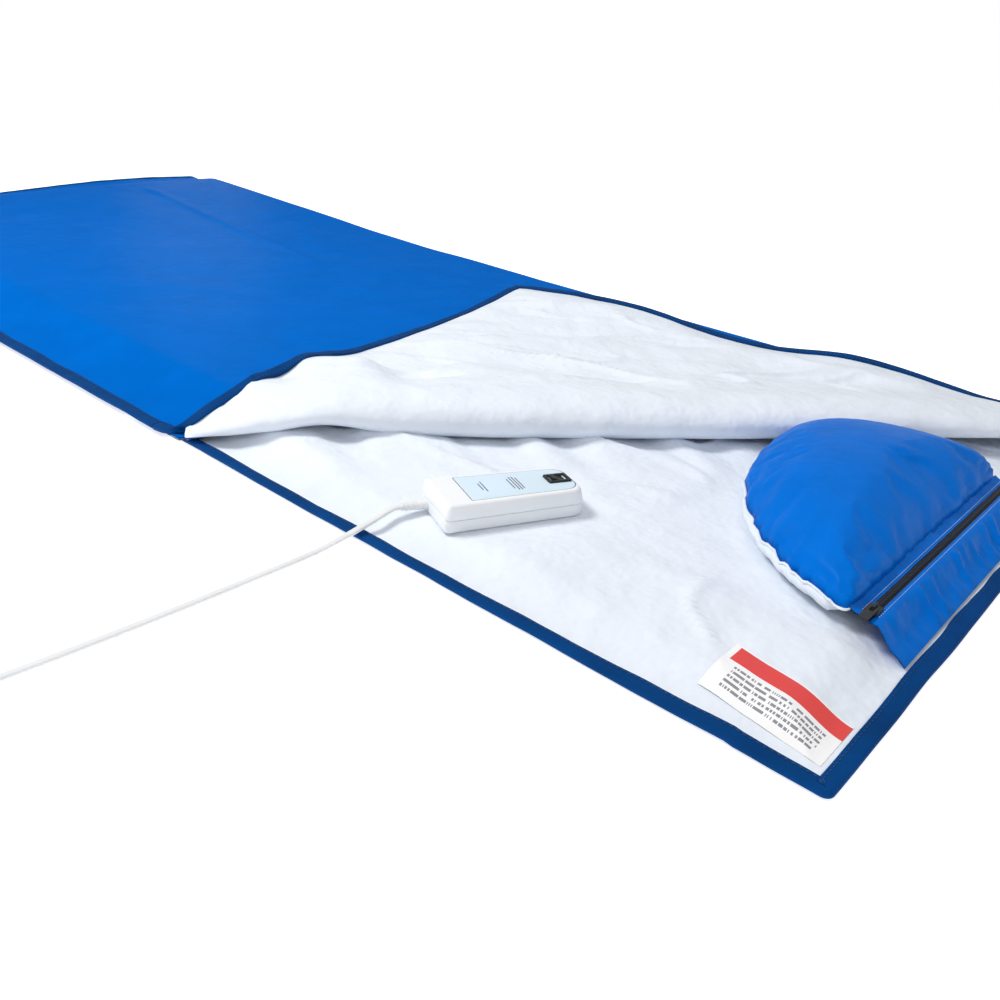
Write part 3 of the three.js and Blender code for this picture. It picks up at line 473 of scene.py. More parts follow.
def material(key):
    """The finishes, made once each."""
    if key in MATERIALS:
        return MATERIALS[key]
    looks = bpy.context.scene.sauna_looks
    blue, navy, white = (tuple(c)[:3] for c in (looks.blue, looks.navy, looks.white))
    make = {
        "blue": lambda: finish_of("blue_nylon", blue, 0.38, vary=0.05, crinkle=[(60.0, 0.25), (16.0, 0.1)],
                                  specular=0.0015),
        "blue_pillow": lambda: finish_of("blue_nylon_pillow", tuple(c * 1.2 for c in blue), 0.36, vary=0.05,
                                         weave=(0.55, 0.15), crinkle=[(30.0, 0.5), (10.0, 0.3)],
                                         specular=0.03),
        "navy": lambda: finish_of("navy_binding_tape", navy, 0.65, vary=0.15, weave=(1.1, 0.5),
                                  crinkle=[(12.0, 0.4)], specular=0.05),
        "white": lambda: finish_of("white_lining_nylon", white, 0.48, sheen=0.1, vary=0.025, weave=(0.5, 0.1),
                                   crinkle=[(46.0, 0.95), (17.0, 0.3)], specular=0.1),
        "felt": lambda: finish_of("needled_felt", (0.68, 0.65, 0.56), 0.95, vary=0.12, grain=(1.2, 0.9),
                                  crinkle=[(7.0, 0.6)], specular=0.1),
        "film": lambda: finish_of("reflective_film", (0.75, 0.76, 0.78), 0.22, metal=1.0, vary=0.04,
                                  crinkle=[(16.0, 0.8)]),
        "carrier": lambda: finish_of("heater_cloth", (0.62, 0.56, 0.43), 0.9, vary=0.1, weave=(1.6, 0.8)),
        "cable": lambda: finish_of("heater_cable_sleeve", (0.45, 0.07, 0.03), 0.5, vary=0.12,
                                   grain=(1.0, 0.4)),
        "zip": lambda: finish_of("zip_black", (0.012, 0.015, 0.022), 0.42, vary=0.2, weave=(0.8, 0.5)),
        "thread": lambda: finish_of("pale_thread", (0.5, 0.6, 0.75), 0.7, vary=0.1, grain=(0.6, 0.5)),
        "thread_dark": lambda: finish_of("navy_thread", (0.016, 0.05, 0.13), 0.6, vary=0.1,
                                         grain=(0.6, 0.5)),
        "shell": lambda: finish_of("white_moulded_plastic", (0.9, 0.92, 0.94), 0.38, vary=0.02,
                                   grain=(0.7, 0.18), subsurface=0.05),
        "panel": lambda: finish_of("pale_blue_panel_film", (0.68, 0.81, 0.92), 0.45, vary=0.02,
                                   grain=(0.4, 0.15), specular=0.25),
        "black": lambda: finish_of("black_plastic", (0.012, 0.013, 0.014), 0.34, vary=0.2, grain=(0.5, 0.25)),
        # dark grey: the printed marks on the face, and also the painted shade round the face plate
        "mark": lambda: finish_of("grey_print_and_painted_shade", (0.13, 0.15, 0.18), 0.5, vary=0.05, grain=(0.4, 0.1)),
        "board": lambda: finish_of("circuit_board_green", (0.02, 0.16, 0.06), 0.45, vary=0.2,
                                   grain=(0.9, 0.3)),
        "steel": lambda: finish_of("screw_steel", (0.6, 0.61, 0.62), 0.3, metal=1.0, vary=0.08,
                                   grain=(0.5, 0.3)),
        "brass": lambda: finish_of("pin_brass", (0.72, 0.52, 0.22), 0.25, metal=1.0, vary=0.08,
                                   grain=(0.6, 0.2)),
        "cord": lambda: finish_of("white_cord_pvc", (0.78, 0.79, 0.8), 0.42, vary=0.03, grain=(1.5, 0.2)),
        "label": lambda: band_finish("satin_label"),
        "floor": lambda: finish_of("pale_floor", (0.9, 0.9, 0.9), 0.8, vary=0.01, grain=(3.0, 0.05),
                                   specular=0.0, glow=0.68),
    }[key]
    MATERIALS[key] = make()
    return MATERIALS[key]


def dress(nodes, key):
    """Gives CAD nodes that stay their finish."""
    for name in nodes:
        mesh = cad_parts[name].data
        mesh.materials.clear()
        mesh.materials.append(material(key))


# ---- the quilt's surfaces ----
def along_fold(x, y):
    """(distance along the fold line from its near end, distance towards the foot)."""
    x, y = np.asarray(x, float) - P0[0], np.asarray(y, float) - P0[1]
    return x * U[0] + y * U[1], x * N[0] + y * N[1]


def from_fold(s, d):
    return P0[0] + s * U[0] + d * N[0], P0[1] + s * U[1] + d * N[1]


def off_line(x, y, a, b):
    """Distance of a point from the line through a and b."""
    run = b - a
    return np.abs((x - a[0]) * run[1] - (y - a[1]) * run[0]) / np.hypot(*run)


def clear_of(x, y):
    """0 under the controller, the pillow and the label, 1 away from them."""
    bx, by = x - BOX_AT[0], y - BOX_AT[1]
    c, s = math.cos(BOX_TURN), math.sin(BOX_TURN)
    lx, ly = np.abs(bx * c + by * s), np.abs(-bx * s + by * c)
    box = np.maximum(lx - 74, ly - 34)
    pil = np.maximum(np.abs(x - 775) - 108, np.abs(y - PILLOW_Y) - 182)
    return smooth(np.minimum(box, pil) / 34)


def mat_top(x, y):
    """Top of the mat, with creases that run in from its tape and out from under the turned corner."""
    e = np.minimum(np.minimum(x + HX, HX - x), y + HY)
    p = smooth((e - PUFF) / 41)
    soft = 2.4 * (noise(x, y, 120, 3) + 0.6) + 1.5 * (noise(x, y, 46, 4) + 0.5)
    soft = soft + 3.6 * ridges(x * 0.5 + y * 0.25, y - x * 0.3, 70, 5, 0.16)
    for across, edge, seed in ((y + HY, x, 6), (HX - x, y, 7)):
        gather = np.maximum(noise(edge + across * 0.15, across * 0.12, 21, seed), 0)
        soft = soft + 4.2 * gather * np.exp(-np.maximum(across - 22, 0) / 46) * smooth((across - 16) / 14)
    s, d = along_fold(x, y)
    run = np.maximum(noise(s + 0.35 * d, d * 0.1, 30, 8), 0)
    run = run + 0.6 * np.maximum(noise(s + 0.2 * d, d * 0.1, 57, 9), 0)
    soft = soft + 7.5 * run * np.exp(-np.maximum(-d - 12, 0) / 62) * smooth((80 - d) / 70)
    label = smooth(np.maximum(np.abs(x - 840) - 46, np.abs(y + 323) - 34) / 20)
    return mix(3.4, MAT_TOP, p) + p * clear_of(x, y) * mix(0.15, 1, label) * np.maximum(soft, 0)


def swell(x, y):
    """How far the cover stands above its flat height towards the far foot corner."""
    return 20 * smooth((-x - 120) / 760) * smooth((y + 200) / 560)


def cover_edge_lift(y):
    """The open foot end gapes, most near the far fold."""
    return 36 * smooth((y + 330) / 620)


def cover_top(x, y):
    """Top of the cover; its wrinkles stay clear of the turned corner."""
    foot, near = x + HX, y - NEAR
    lift = cover_edge_lift(y) * (1 - smooth(foot / 150))
    edge = 8.4 + lift
    e = np.minimum(foot, near)
    p = smooth((e - 15) / 73)
    free = smooth((-x + 90) / 120) * smooth((180 - x) / 60)
    soft = 1.6 * (noise(x, y, 210, 11) + 0.5) + 0.8 * (noise(x, y, 80, 12) + 0.4)
    crease = np.abs((y - 195) + (x + 775) * 0.1166)
    soft = soft + 2.6 * np.exp(-((crease / 9.0) ** 2)) * smooth((x + 800) / 80) * smooth((-100 - x) / 90)
    gather = np.maximum(noise(x + near * 0.2, near * 0.1, 34, 13), 0)
    soft = soft + 2.2 * (gather * np.exp(-np.maximum(near - 26, 0) / 60))
    soft = soft + 1.6 * np.maximum(noise(foot * 0.12, y, 34, 14), 0) * np.exp(-foot / 60)
    return mix(edge, COVER_TOP + swell(x, y), p) + p * free * np.maximum(soft, 0)


def cover_low(x, y):
    foot, near = x + HX, y - NEAR
    lift = cover_edge_lift(y) * (1 - smooth(foot / 92))
    p = smooth((np.minimum(foot, near) - PUFF) / 71)
    return mix(5.6 + lift * (1 - p), COVER_LOW, p) + lift * p * 0.5


# the roll's lower and upper height: distance along the fold, then height
ROLL_LOW = np.array([[0, 6.5], [24, 9], [77, 15.5], [114, 22], [147, 28], [172, 21], [207, 16.5],
                     [304, 16.5], [405, 18.5], [509, 21], [618, 25], [729, 29], [846, 31], [940, 30],
                     [988.5, 28]])
ROLL_TOP = np.array([[0, 11], [24, 20], [50, 32], [77, 42], [120, 51], [160, 54], [205, 55], [300, 57],
                     [405, 57], [509, 55], [618, 58], [729, 60], [846, 58], [940, 48], [988.5, 38]])
# the turned corner's height at points of its two edges, (x, y, height), and inside it, (s, d, height)
NEAR_OUTLINE = [(264, -354, 29), (260, -329, 42), (253, -290, 46), (244, -235, 46), (228, -141, 39),
                (218, -87, 37), (205, -9, 38), (186, 100, 42), (164, 226, 55)]
HEAD_OUTLINE = [(151, 243, 54), (214, 254, 62), (275, 265, 66), (349, 278, 65), (421, 291, 56),
                (462, 298, 52), (527, 309, 52), (610, 324, 63), (669, 334, 60), (726, 344, 53),
                (783, 354, 46), (850, 367, 41), (892, 374, 38)]
INSIDE = [(112, 118, 52), (178, 150, 38), (205, 140, 38), (225, 190, 39), (190, 112, 42), (275, 140, 44),
          (330, 120, 46), (420, 120, 45), (520, 120, 46), (620, 120, 47), (720, 120, 48), (250, 240, 42),
          (330, 250, 45), (430, 240, 43), (520, 240, 45), (600, 220, 47), (340, 360, 48), (430, 350, 50)]


def at(table, s):
    """A table's value at s, without corners."""
    wide = np.interp(np.asarray(s)[..., None] + np.linspace(-22, 22, 9), table[:, 0], table[:, 1])
    return wide.mean(-1)


class Sheet:
    """The turned corner's lining, as a height over the fold's coordinates, through known points."""

    def __init__(self):
        pts = [(*map(float, along_fold(x, y)), z) for x, y, z in NEAR_OUTLINE + HEAD_OUTLINE] + INSIDE
        for s in np.linspace(40, 940, 17):
            k = self.scale(s)
            pts.append((s, 34 * k, float(at(ROLL_TOP, s))))
            pts.append((s, ROLL * k, float(at(ROLL_TOP, s)) - 7))
        p = np.array(pts)
        self.at, z = p[:, :2] / 100, p[:, 2]
        n = len(p)
        k = self.kernel(self.at[:, None] - self.at[None]) + np.eye(n) * 0.02
        q = np.hstack([np.ones((n, 1)), self.at])
        a = np.block([[k, q], [q.T, np.zeros((3, 3))]])
        self.w = np.linalg.solve(a, np.concatenate([z, np.zeros(3)]))

    @staticmethod
    def scale(s):
        return np.clip(reach(s) / ROLL, 0.02, 1)

    @staticmethod
    def kernel(v):
        r2 = (v**2).sum(-1) + 1e-12
        return 0.5 * r2 * np.log(r2)

    def height(self, s, d):
        q = np.stack([np.asarray(s, float), np.asarray(d, float)], -1) / 100
        k = self.kernel(q[..., None, :] - self.at)
        n = len(self.at)
        return k @ self.w[:n] + self.w[n] + q @ self.w[n + 1:]


def reach(s):
    """How far the turned corner lies from the fold line at s."""
    s = np.asarray(s, float)
    return np.minimum(s * TIP_D / TIP_S, (FOLD - s) * TIP_D / (FOLD - TIP_S))


def cloth_reach(s):
    """How far the cloth itself goes, inside the tape that binds it."""
    return np.maximum(reach(s) - 4.0, 0.5)


def start_height(s):
    """How high the turned corner may stand close to the near end of its fold."""
    return 9 + 1.6 * np.maximum(s - 8, 0)


def flap_top(s, d):
    """Top of the turned corner, with its wrinkles, its bound edge and what lies under it."""
    x, y = from_fold(s, d)
    near, head = off_line(x, y, P0, TIP), off_line(x, y, TIP, FH)
    e = np.minimum(near, head)
    z = SHEET.height(s, d)
    inner = smooth((e - 14) / 60)
    back = smooth((d - 58) / 46)
    z = z + inner * back * (4.6 * noise(s * 0.6, d * 1.3, 66, 21)
                            + 3.0 * noise(s * 0.5 + d * 0.4, d * 1.2, 30, 22)
                            + 5.5 * ridges(s * 0.45 + d * 0.5, d, 60, 23, 0.2)
                            + 4.0 * ridges(s * 0.3 + d * 0.75, d * 0.4 - s * 0.1, 44, 27, 0.16) - 2.6)
    z = z + smooth(d / 40) * (1 - back) * 1.2 * noise(s * 0.7, d, 70, 24)
    for across, edge, seed in ((near, d, 25), (head, s, 26)):
        gather = 2.6 * np.maximum(noise(edge + across * 0.2, across * 0.1, 26, seed), 0)
        gather = gather * np.exp(-np.maximum(across - 20, 0) / 50) * smooth((across - 14) / 12)
        z = z + gather * smooth((d - 90) / 90)
    z = z + 3.0 * smooth((e - 12) / 34) - 1.5
    dent = np.exp(-(((s - 230) / 34) ** 2) - ((d - 97) / 14) ** 2)
    z = z - 18.0 * dent
    z = z + 10.0 * np.exp(-(((s - 172) / 30) ** 2) - ((d - 104) / 32) ** 2)
    z = z + 6.0 * np.exp(-(((s - 300) / 42) ** 2) - ((d - 126) / 24) ** 2)
    z = np.minimum(z, start_height(s))
    return np.maximum(z, cover_top(x, y) + mix(4.6, 7.8, inner) - 3.6 * dent)


def flap_low(s, d, top):
    x, y = from_fold(s, d)
    near, head = off_line(x, y, P0, TIP), off_line(x, y, TIP, FH)
    e = np.minimum(near, head)
    thick = mix(3.2, 8.5, smooth((e - 14) / 50))
    return np.maximum(top - thick, cover_top(x, y) + 0.8)


SHEET = Sheet()


# ---- add-on properties ----
class SaunaSizes(bpy.types.PropertyGroup):
    stitch_pitch: bpy.props.FloatProperty(
        name="Stitch pitch", description="From one stitch to the next", default=0.0045, min=0.002,
        unit="LENGTH")
    stitch_length: bpy.props.FloatProperty(
        name="Stitch length", description="Length of one stitch", default=0.003, min=0.001, unit="LENGTH")
    thread: bpy.props.FloatProperty(
        name="Thread", description="Thickness of the sewing thread", default=0.0008, min=0.0002,
        unit="LENGTH")
    tooth_pitch: bpy.props.FloatProperty(
        name="Tooth pitch", description="From one zip tooth to the next", default=0.003, min=0.001,
        unit="LENGTH")
    cord_length: bpy.props.FloatProperty(
        name="Cord length", description="Mains cord from the controller to its plug", default=2.0, min=1.0,
        unit="LENGTH")
    cord_width: bpy.props.FloatProperty(
        name="Cord width", description="Width of the flat twin cord", default=0.0058, min=0.004,
        unit="LENGTH")


class SaunaLooks(bpy.types.PropertyGroup):
    blue: bpy.props.FloatVectorProperty(
        name="Outer nylon", description="Colour of the outer cloth", subtype="COLOR",
        default=(0.0, 0.124, 0.52), min=0, max=1)
    navy: bpy.props.FloatVectorProperty(
        name="Binding", description="Colour of the edge tape", subtype="COLOR",
        default=(0.0003, 0.046, 0.185), min=0, max=1)
    white: bpy.props.FloatVectorProperty(
        name="Lining", description="Colour of the lining", subtype="COLOR",
        default=(0.80, 0.85, 0.925), min=0, max=1)
    key_power: bpy.props.FloatProperty(
        name="Key light", description="Power of the light that casts the shadows", default=27.5,
        unit="POWER")
    world_strength: bpy.props.FloatProperty(
        name="Sky strength", description="Strength of the even light from all round", default=0.47, min=0)


# ---- operators ----
class SAUNA_OT_stage(bpy.types.Operator):
    """Makes the pale floor, the soft lights and the camera"""

    bl_idname = "sauna.stage"
    bl_label = "Stage"

    def execute(self, context):
        looks = context.scene.sauna_looks
        scene = context.scene
        scene.view_settings.view_transform = "Standard"
        world = bpy.data.worlds.new("soft_sky")
        world.use_nodes = True
        tree = world.node_tree
        # the camera sees a white sky, and the pieces get only world_strength of it
        sky = next(n for n in tree.nodes if n.type == "BACKGROUND")
        sky.inputs[0].default_value = (1.0, 1.0, 1.0, 1)
        ray, level = tree.nodes.new("ShaderNodeLightPath"), tree.nodes.new("ShaderNodeMapRange")
        level.inputs["To Min"].default_value, level.inputs["To Max"].default_value = looks.world_strength, 1.0
        tree.links.new(ray.outputs["Is Camera Ray"], level.inputs["Value"])
        tree.links.new(level.outputs["Result"], sky.inputs[1])
        scene.world = world
        half, level_z = 40.0, -0.0004
        corners = [(x * half, y * half, level_z) for x, y in ((-1, -1), (1, -1), (1, 1), (-1, 1))]
        mesh = bpy.data.meshes.new("floor")
        mesh.from_pydata(corners, [], [(0, 1, 2, 3)])
        mesh.materials.append(material("floor"))
        floor = in_scene("floor", mesh)
        self.light("key", (-0.45, -0.95, 1.75), (0.3, -0.05, 0), (0.6, 0.5), looks.key_power)
        self.light("top", (0.3, 0.6, 2.6), (0.2, -0.05, 0), (1.8, 1.4), 6.0)
        self.light("fill", (1.7, -1.5, 1.5), (0.35, -0.05, 0), (1.2, 0.9), 5.2)
        self.light("window", (-3.3, 1.9, 0.72), (-0.65, 0.25, 0.05), (0.62, 0.36), 3.2)
        self.camera(scene)
        return {"FINISHED"}

    @staticmethod
    def light(name, place, aim, size, power):
        data = bpy.data.lights.new(name, "AREA")
        data.shape, data.size, data.size_y, data.energy = "RECTANGLE", *size, power
        obj = in_scene(name, data)
        obj.location = place
        obj.rotation_euler = (Vector(aim) - Vector(place)).to_track_quat("-Z", "Y").to_euler()

    @staticmethod
    def camera(scene):
        yaw, pitch, roll = (math.radians(v) for v in (38.58, 25.64, 5.94))
        fwd = Vector((-math.sin(yaw) * math.cos(pitch), math.cos(yaw) * math.cos(pitch), -math.sin(pitch)))
        right = Vector((math.cos(yaw), math.sin(yaw), 0))
        up = right.cross(fwd)
        rolled_right = right * math.cos(roll) + up * math.sin(roll)
        rolled_up = up * math.cos(roll) - right * math.sin(roll)
        cam = bpy.data.cameras.new("camera")
        cam.lens, cam.sensor_width = 33.66, 36.0
        cam.clip_start, cam.clip_end = 0.02, 60.0
        obj = in_scene("camera", cam)
        obj.location = (0.9941, -0.8085, 0.3548)
        turn = obj.rotation_euler.to_matrix()
        for k, v in enumerate((rolled_right, rolled_up, -fwd)):
            turn.col[k] = v
        obj.rotation_euler = turn.to_euler()
        scene.camera = obj


def flat_twin(width, height, n=18):
    """Outline of two cords moulded side by side."""
    a = np.linspace(0, 2 * np.pi, n, endpoint=False)
    x = np.cos(a) * width / 2
    waist = 1 - 0.28 * np.exp(-((np.cos(a) / 0.22) ** 2))
    return np.stack([x, blunt(np.sin(a), 0.7) * height / 2 * waist], -1)


def box_point(x, y):
    """Where a point of the controller, along it and across it, lies on the mat."""
    c, s = math.cos(BOX_TURN), math.sin(BOX_TURN)
    return [BOX_AT[0] + x * c - y * s, BOX_AT[1] + x * s + y * c]


class SAUNA_OT_cord(bpy.types.Operator):
    """Makes the mains cord, from the controller over the near edge to its coil and plug"""

    bl_idname = "sauna.cord"
    bl_label = "Mains Cord"

    def execute(self, context):
        sizes = context.scene.sauna_sizes
        lie, tail_length = 2.5, 250
        run = [[*box_point(-69, 14), 18.6], [*box_point(-86, 14), 18.6], [*box_point(-93, 14), 18.0],
               [511.6, -357, 13.6], [511, -372, 10.4], [510, -392, 6.2], [510, -420, 3.2], [511, -480, lie],
               [512, -560, lie], [511, -630, lie], [509, -668, lie]]
        turns = self.coil(lie, sizes.cord_length * 1000 - self.length(np.array(run)) - tail_length)
        tail = [[COIL_AT[0] + x, COIL_AT[1] + y, z] for x, y, z in (
            (-42, 2, lie), (-47, 20, lie + 0.4), (-59, 37, lie + 4), (-72, 43.4, 9.6), (-83, 44, 11.2),
            (-92, 44, 11.3))]
        head = spline(run, np.linspace(0, 1, 90))
        foot = spline(tail, np.linspace(0, 1, 40))
        join_a = self.bridge(head[-1], head[-1] - head[-3], turns[0], turns[1] - turns[0])
        join_b = self.bridge(turns[-1], turns[-1] - turns[-2], foot[0], foot[1] - foot[0])
        path = np.vstack([head, join_a, turns, join_b, foot])
        way = way_along(path)
        even = np.linspace(0, way[-1], int(way[-1] / 2.6))
        path = eased(np.stack([np.interp(even, way, path[:, k]) for k in range(3)], -1), 3)
        tangent = unit(np.gradient(path, axis=0))
        side = unit(np.cross(tangent, (0, 0, 1)))
        up = np.cross(side, tangent)
        width = sizes.cord_width * 1000
        obj = sweep("mains_cord", path, side, up, flat_twin(width, width * 0.66), [material("cord")])
        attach(obj, "mat")
        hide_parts("mains_cord_run", "mains_cord_coil", "mains_cord_tail")
        dress(["plug_body"], "cord")
        dress(["plug_pin_a", "plug_pin_b"], "brass")
        relief = self.relief()
        tie = self.tie()
        plug = self.plug()
        return {"FINISHED"}

    @staticmethod
    def length(p):
        return float(np.linalg.norm(np.diff(p, axis=0), axis=1).sum())

    @staticmethod
    def bridge(a, ta, b, tb):
        """A smooth link between two ends, without its own ends."""
        gap = np.linalg.norm(b - a)
        ta, tb = unit(ta) * gap, unit(tb) * gap
        t = np.linspace(0, 1, max(4, int(gap / 3)))[1:-1, None]
        start = (2 * t**3 - 3 * t**2 + 1) * a + (t**3 - 2 * t**2 + t) * ta
        return start + (3 * t**2 - 2 * t**3) * b + (t**3 - t**2) * tb

    @staticmethod
    def coil(lie, length):
        """Turns that lie beside and on each other, (radius, height) for each, until length is used up."""
        seats = [(39, 0), (33, 0), (27, 0), (30, 3.9), (36, 3.9), (36, 7.8), (30, 7.8), (27, 11.4),
                 (33, 11.4), (39, 11.4)]
        per_turn, angle = 60, 0.45
        points, made = [], 0.0
        for k in range(len(seats) * per_turn):
            turn = k / per_turn
            i = min(int(turn), len(seats) - 2)
            f = smooth(np.clip((turn - i - 0.75) / 0.25, 0, 1))
            r = mix(seats[i][0], seats[i + 1][0], f)
            z = mix(seats[i][1], seats[i + 1][1], f)
            a = angle - 2 * math.pi * turn
            p = (COIL_AT[0] + r * math.cos(a), COIL_AT[1] + r * math.sin(a), lie + z)
            if points:
                made += math.dist(p, points[-1])
            points.append(p)
            if made > length and abs((a - math.pi + 0.2) % (2 * math.pi) - 0.2) < 0.1:
                break
        return np.array(points)

    @staticmethod
    def relief():
        """The tapered, ribbed strain relief at the controller."""
        t = np.array([math.cos(BOX_TURN), math.sin(BOX_TURN), 0])
        base = np.array([*box_point(-64, 14), BOX_Z + 6.6])
        side, up = np.array([-t[1], t[0], 0]), np.array([0, 0, 1.0])
        a = np.linspace(0, 2 * np.pi, 24, endpoint=False)
        rings = []
        first, last = -3, 23
        for x in range(first, last + 1):
            groove = 0.55 if x > 3 and x % 4 == 1 else 0
            r = {first: 3.5, last: 3.7}.get(x, 5.1 - 0.055 * max(x, 0) - groove)
            around = side * (np.cos(a) * r)[:, None] + up * (np.sin(a) * r * 0.86)[:, None]
            rings.append(base - t * (x - 1) + around)
        obj = loft("strain_relief", rings, [material("cord")])
        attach(obj, "mat")
        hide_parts("cord_strain_relief")
        return obj

    @staticmethod
    def tie():
        """A flat strap with round corners, closed round the bundle of turns."""
        a = np.linspace(0, 2 * np.pi, 40, endpoint=False)
        ring = np.stack([0 * a, blunt(np.cos(a), 0.6) * 10.6, blunt(np.sin(a), 0.6) * 8.9], -1)
        path = np.array([COIL_AT[0], COIL_AT[1] - 33, 9.35]) + ring
        out = unit(ring)
        side = np.tile((1.0, 0, 0), (len(ring), 1))
        profile = [(-4, -0.4), (-4, 0.1), (-3.6, 0.4), (3.6, 0.4), (4, 0.1), (4, -0.4)]
        obj = sweep("coil_tie", path, side, out, profile, [material("black")], closed=True)
        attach(obj, "mat")
        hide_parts("cord_tie")
        return obj

    @staticmethod
    def plug():
        """The plug's moulded body, waisted for a grip, with a flange at the pins."""
        back = np.array([COIL_AT[0] - 84, COIL_AT[1] + 44, 11.3])
        a = np.linspace(0, 2 * np.pi, 48, endpoint=False)
        rings = []
        # distance from the cord's end, then half the width and half the height
        for x, w, h in ((0, 4.4, 4.0), (0.6, 4.9, 4.6), (5, 6.6, 5.6), (10, 9.6, 7.4), (15, 13.0, 9.2),
                        (20, 15.2, 9.6), (26, 15.8, 9.4), (31, 16.4, 9.8), (34, 17.6, 10.9),
                        (38.8, 17.7, 11.0), (40, 16.8, 10.2)):
            y, z = blunt(np.cos(a), 0.62) * w, blunt(np.sin(a), 0.62) * h
            rings.append(back + np.stack([np.full(len(a), -x), y, z], -1))
        obj = loft("plug_moulding", rings, [material("cord")])
        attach(obj, "mat")
        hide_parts("plug_body")
        return obj


class SAUNA_OT_mat(bpy.types.Operator):
    """Makes the mat: its outer sheet and its lining, and dresses the heater inside it"""

    bl_idname = "sauna.mat"
    bl_label = "Mat"

    def execute(self, context):
        xs = uneven(-HX + HEM, HX - HEM, 5.0, 14.0, 120.0)
        ys = np.linspace(-HY + HEM, FAR, 140)
        x, y = np.meshgrid(xs, ys, indexing="ij")
        top = np.stack([x, y, mat_top(x, y)], -1)
        low = top - (0, 0, 1.0)
        lining = shell("mat_lining_quilted", top, low, [material("white")], oriented(top, (0, 0, 1)))
        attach(lining, "mat")
        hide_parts("mat_lining")
        xs, ys = np.linspace(-HX + HEM, HX - HEM, 120), np.linspace(-HY + HEM, FAR, 60)
        x, y = np.meshgrid(xs, ys, indexing="ij")
        e = np.minimum(np.minimum(x + HX, HX - x), y + HY)
        z = mix(1.1, 0.0, smooth((e - 17) / 41))
        face = np.stack([x, y, z], -1)
        outer = shell("mat_outer", face, face + (0, 0, 0.9), [material("blue")], oriented(face, (0, 0, -1)))
        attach(outer, "mat")
        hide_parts("mat_outer_sheet")
        dress(["mat_insulation_felt"], "felt")
        dress(["mat_reflective_film"], "film")
        dress(["mat_heater_carrier"], "carrier")
        dress(["mat_heater_cable"], "cable")
        dress(["heater_lead"], "cord")
        return {"FINISHED"}


def spine_loop(x, t):
    """The outer cloth round the far fold at x: t is 0 at the mat's underside and 1 at the cover's top."""
    top = cover_top(x, np.full_like(x, FAR))
    a = (t - 0.5) * math.pi
    bulge = 13.0 + 5 * smooth((-x - 300) / 600)
    y = FAR + bulge * blunt(np.cos(a), 0.75)
    z = top / 2 * (1 + blunt(np.sin(a), 0.9))
    wave = 0.8 * noise(x, z * 2, 40, 31) * np.cos(a)
    return np.stack([x, y + wave, z], -1)


class SAUNA_OT_cover(bpy.types.Operator):
    """Makes the cover and the cloth that turns round the far fold"""

    bl_idname = "sauna.cover"
    bl_label = "Cover"

    def execute(self, context):
        across, round_fold = 130, 26
        ys = np.linspace(NEAR + HEM, FAR, across)
        u, y = np.meshgrid(np.linspace(0, 1, 170), ys, indexing="ij")

        def grid(height):
            """The cover's cloth, from its foot end to LAP past the corner's fold line."""
            past = LAP * Sheet.scale((y - NEAR) / U[1]) / N[0]
            end = P0[0] + (y - NEAR) * (FH[0] - P0[0]) / (FH[1] - NEAR) + past
            x = -HX + HEM + u * (end + HX - HEM)
            return np.stack([x, y, height(x, y)], -1)

        top = grid(cover_top)
        loops = np.linspace(0, 1, round_fold)
        xs = top[:, -1, 0]
        ring = spine_loop(np.repeat(xs[:, None], round_fold, 1), np.repeat(loops[None], len(xs), 0))
        whole = np.concatenate([top[:, :-1], ring[:, ::-1]], 1)
        normals = grid_normals(whole)
        normals = normals * (1 if normals[:, :across - 10, 2].mean() > 0 else -1)
        face, out = whole[:, :across], normals[:, :across]
        cover = shell("cover_outer", face, face - out, [material("blue")], out)
        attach(cover, "cover")
        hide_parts("cover_outer_sheet", "cover_insulation_felt", "cover_heater_carrier",
                    "cover_heater_cable", "cover_reflective_film")
        face, out = whole[:, across - 1:], normals[:, across - 1:]
        back = face - out
        back[..., 2] = np.maximum(back[..., 2], 0.4)
        spine = shell("fold_outer", face, back, [material("blue")], out)
        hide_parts("fold_outer_sheet", "fold_insulation_felt")
        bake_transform(spine)

        def low_height(x, y):
            s, d = along_fold(x, y)
            near_fold = 1 - smooth((d - LAP) / 110)
            z = cover_low(x, y)
            return mix(z, np.minimum(at(ROLL_LOW, s) + 1.0, cover_top(x, y) - 3), near_fold)

        low = grid(low_height)
        lining = shell("cover_lining_cloth", low, low + (0, 0, 1.0), [material("white")],
                       oriented(low, (0, 0, -1)))
        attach(lining, "cover")
        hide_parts("cover_lining")
        xs = np.linspace(-HX + 1, HX - 1, 120)
        a = np.linspace(-math.pi / 2, math.pi / 2, 14)
        x, a = np.meshgrid(xs, a, indexing="ij")
        far = np.full_like(x, FAR)
        lo = mat_top(x, far)
        hi = low_height(np.minimum(x, 880), far)
        y = 370.4 + 8.1 * np.cos(a)
        z = (lo + hi) / 2 + (hi - lo) / 2 * np.sin(a)
        face = np.stack([x, y, z], -1)
        back = face + np.stack([0 * x, np.cos(a), np.sin(a)], -1)
        inner = shell("fold_lining_cloth", face, back, [material("white")], oriented(face, (0, -1, 0)))
        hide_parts("fold_lining")
        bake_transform(inner)
        return {"FINISHED"}


def roll_blend():
    """Two points above the fold line, one lower and one higher, on a slant towards the foot."""
    a = np.array([*from_fold(300, 0), 0]) * 0.001
    way = np.array([N[0] * 0.3, N[1] * 0.3, 1.0])
    way = way / (way @ way)
    return tuple(a + way * 0.024), tuple(a + way * 0.066)


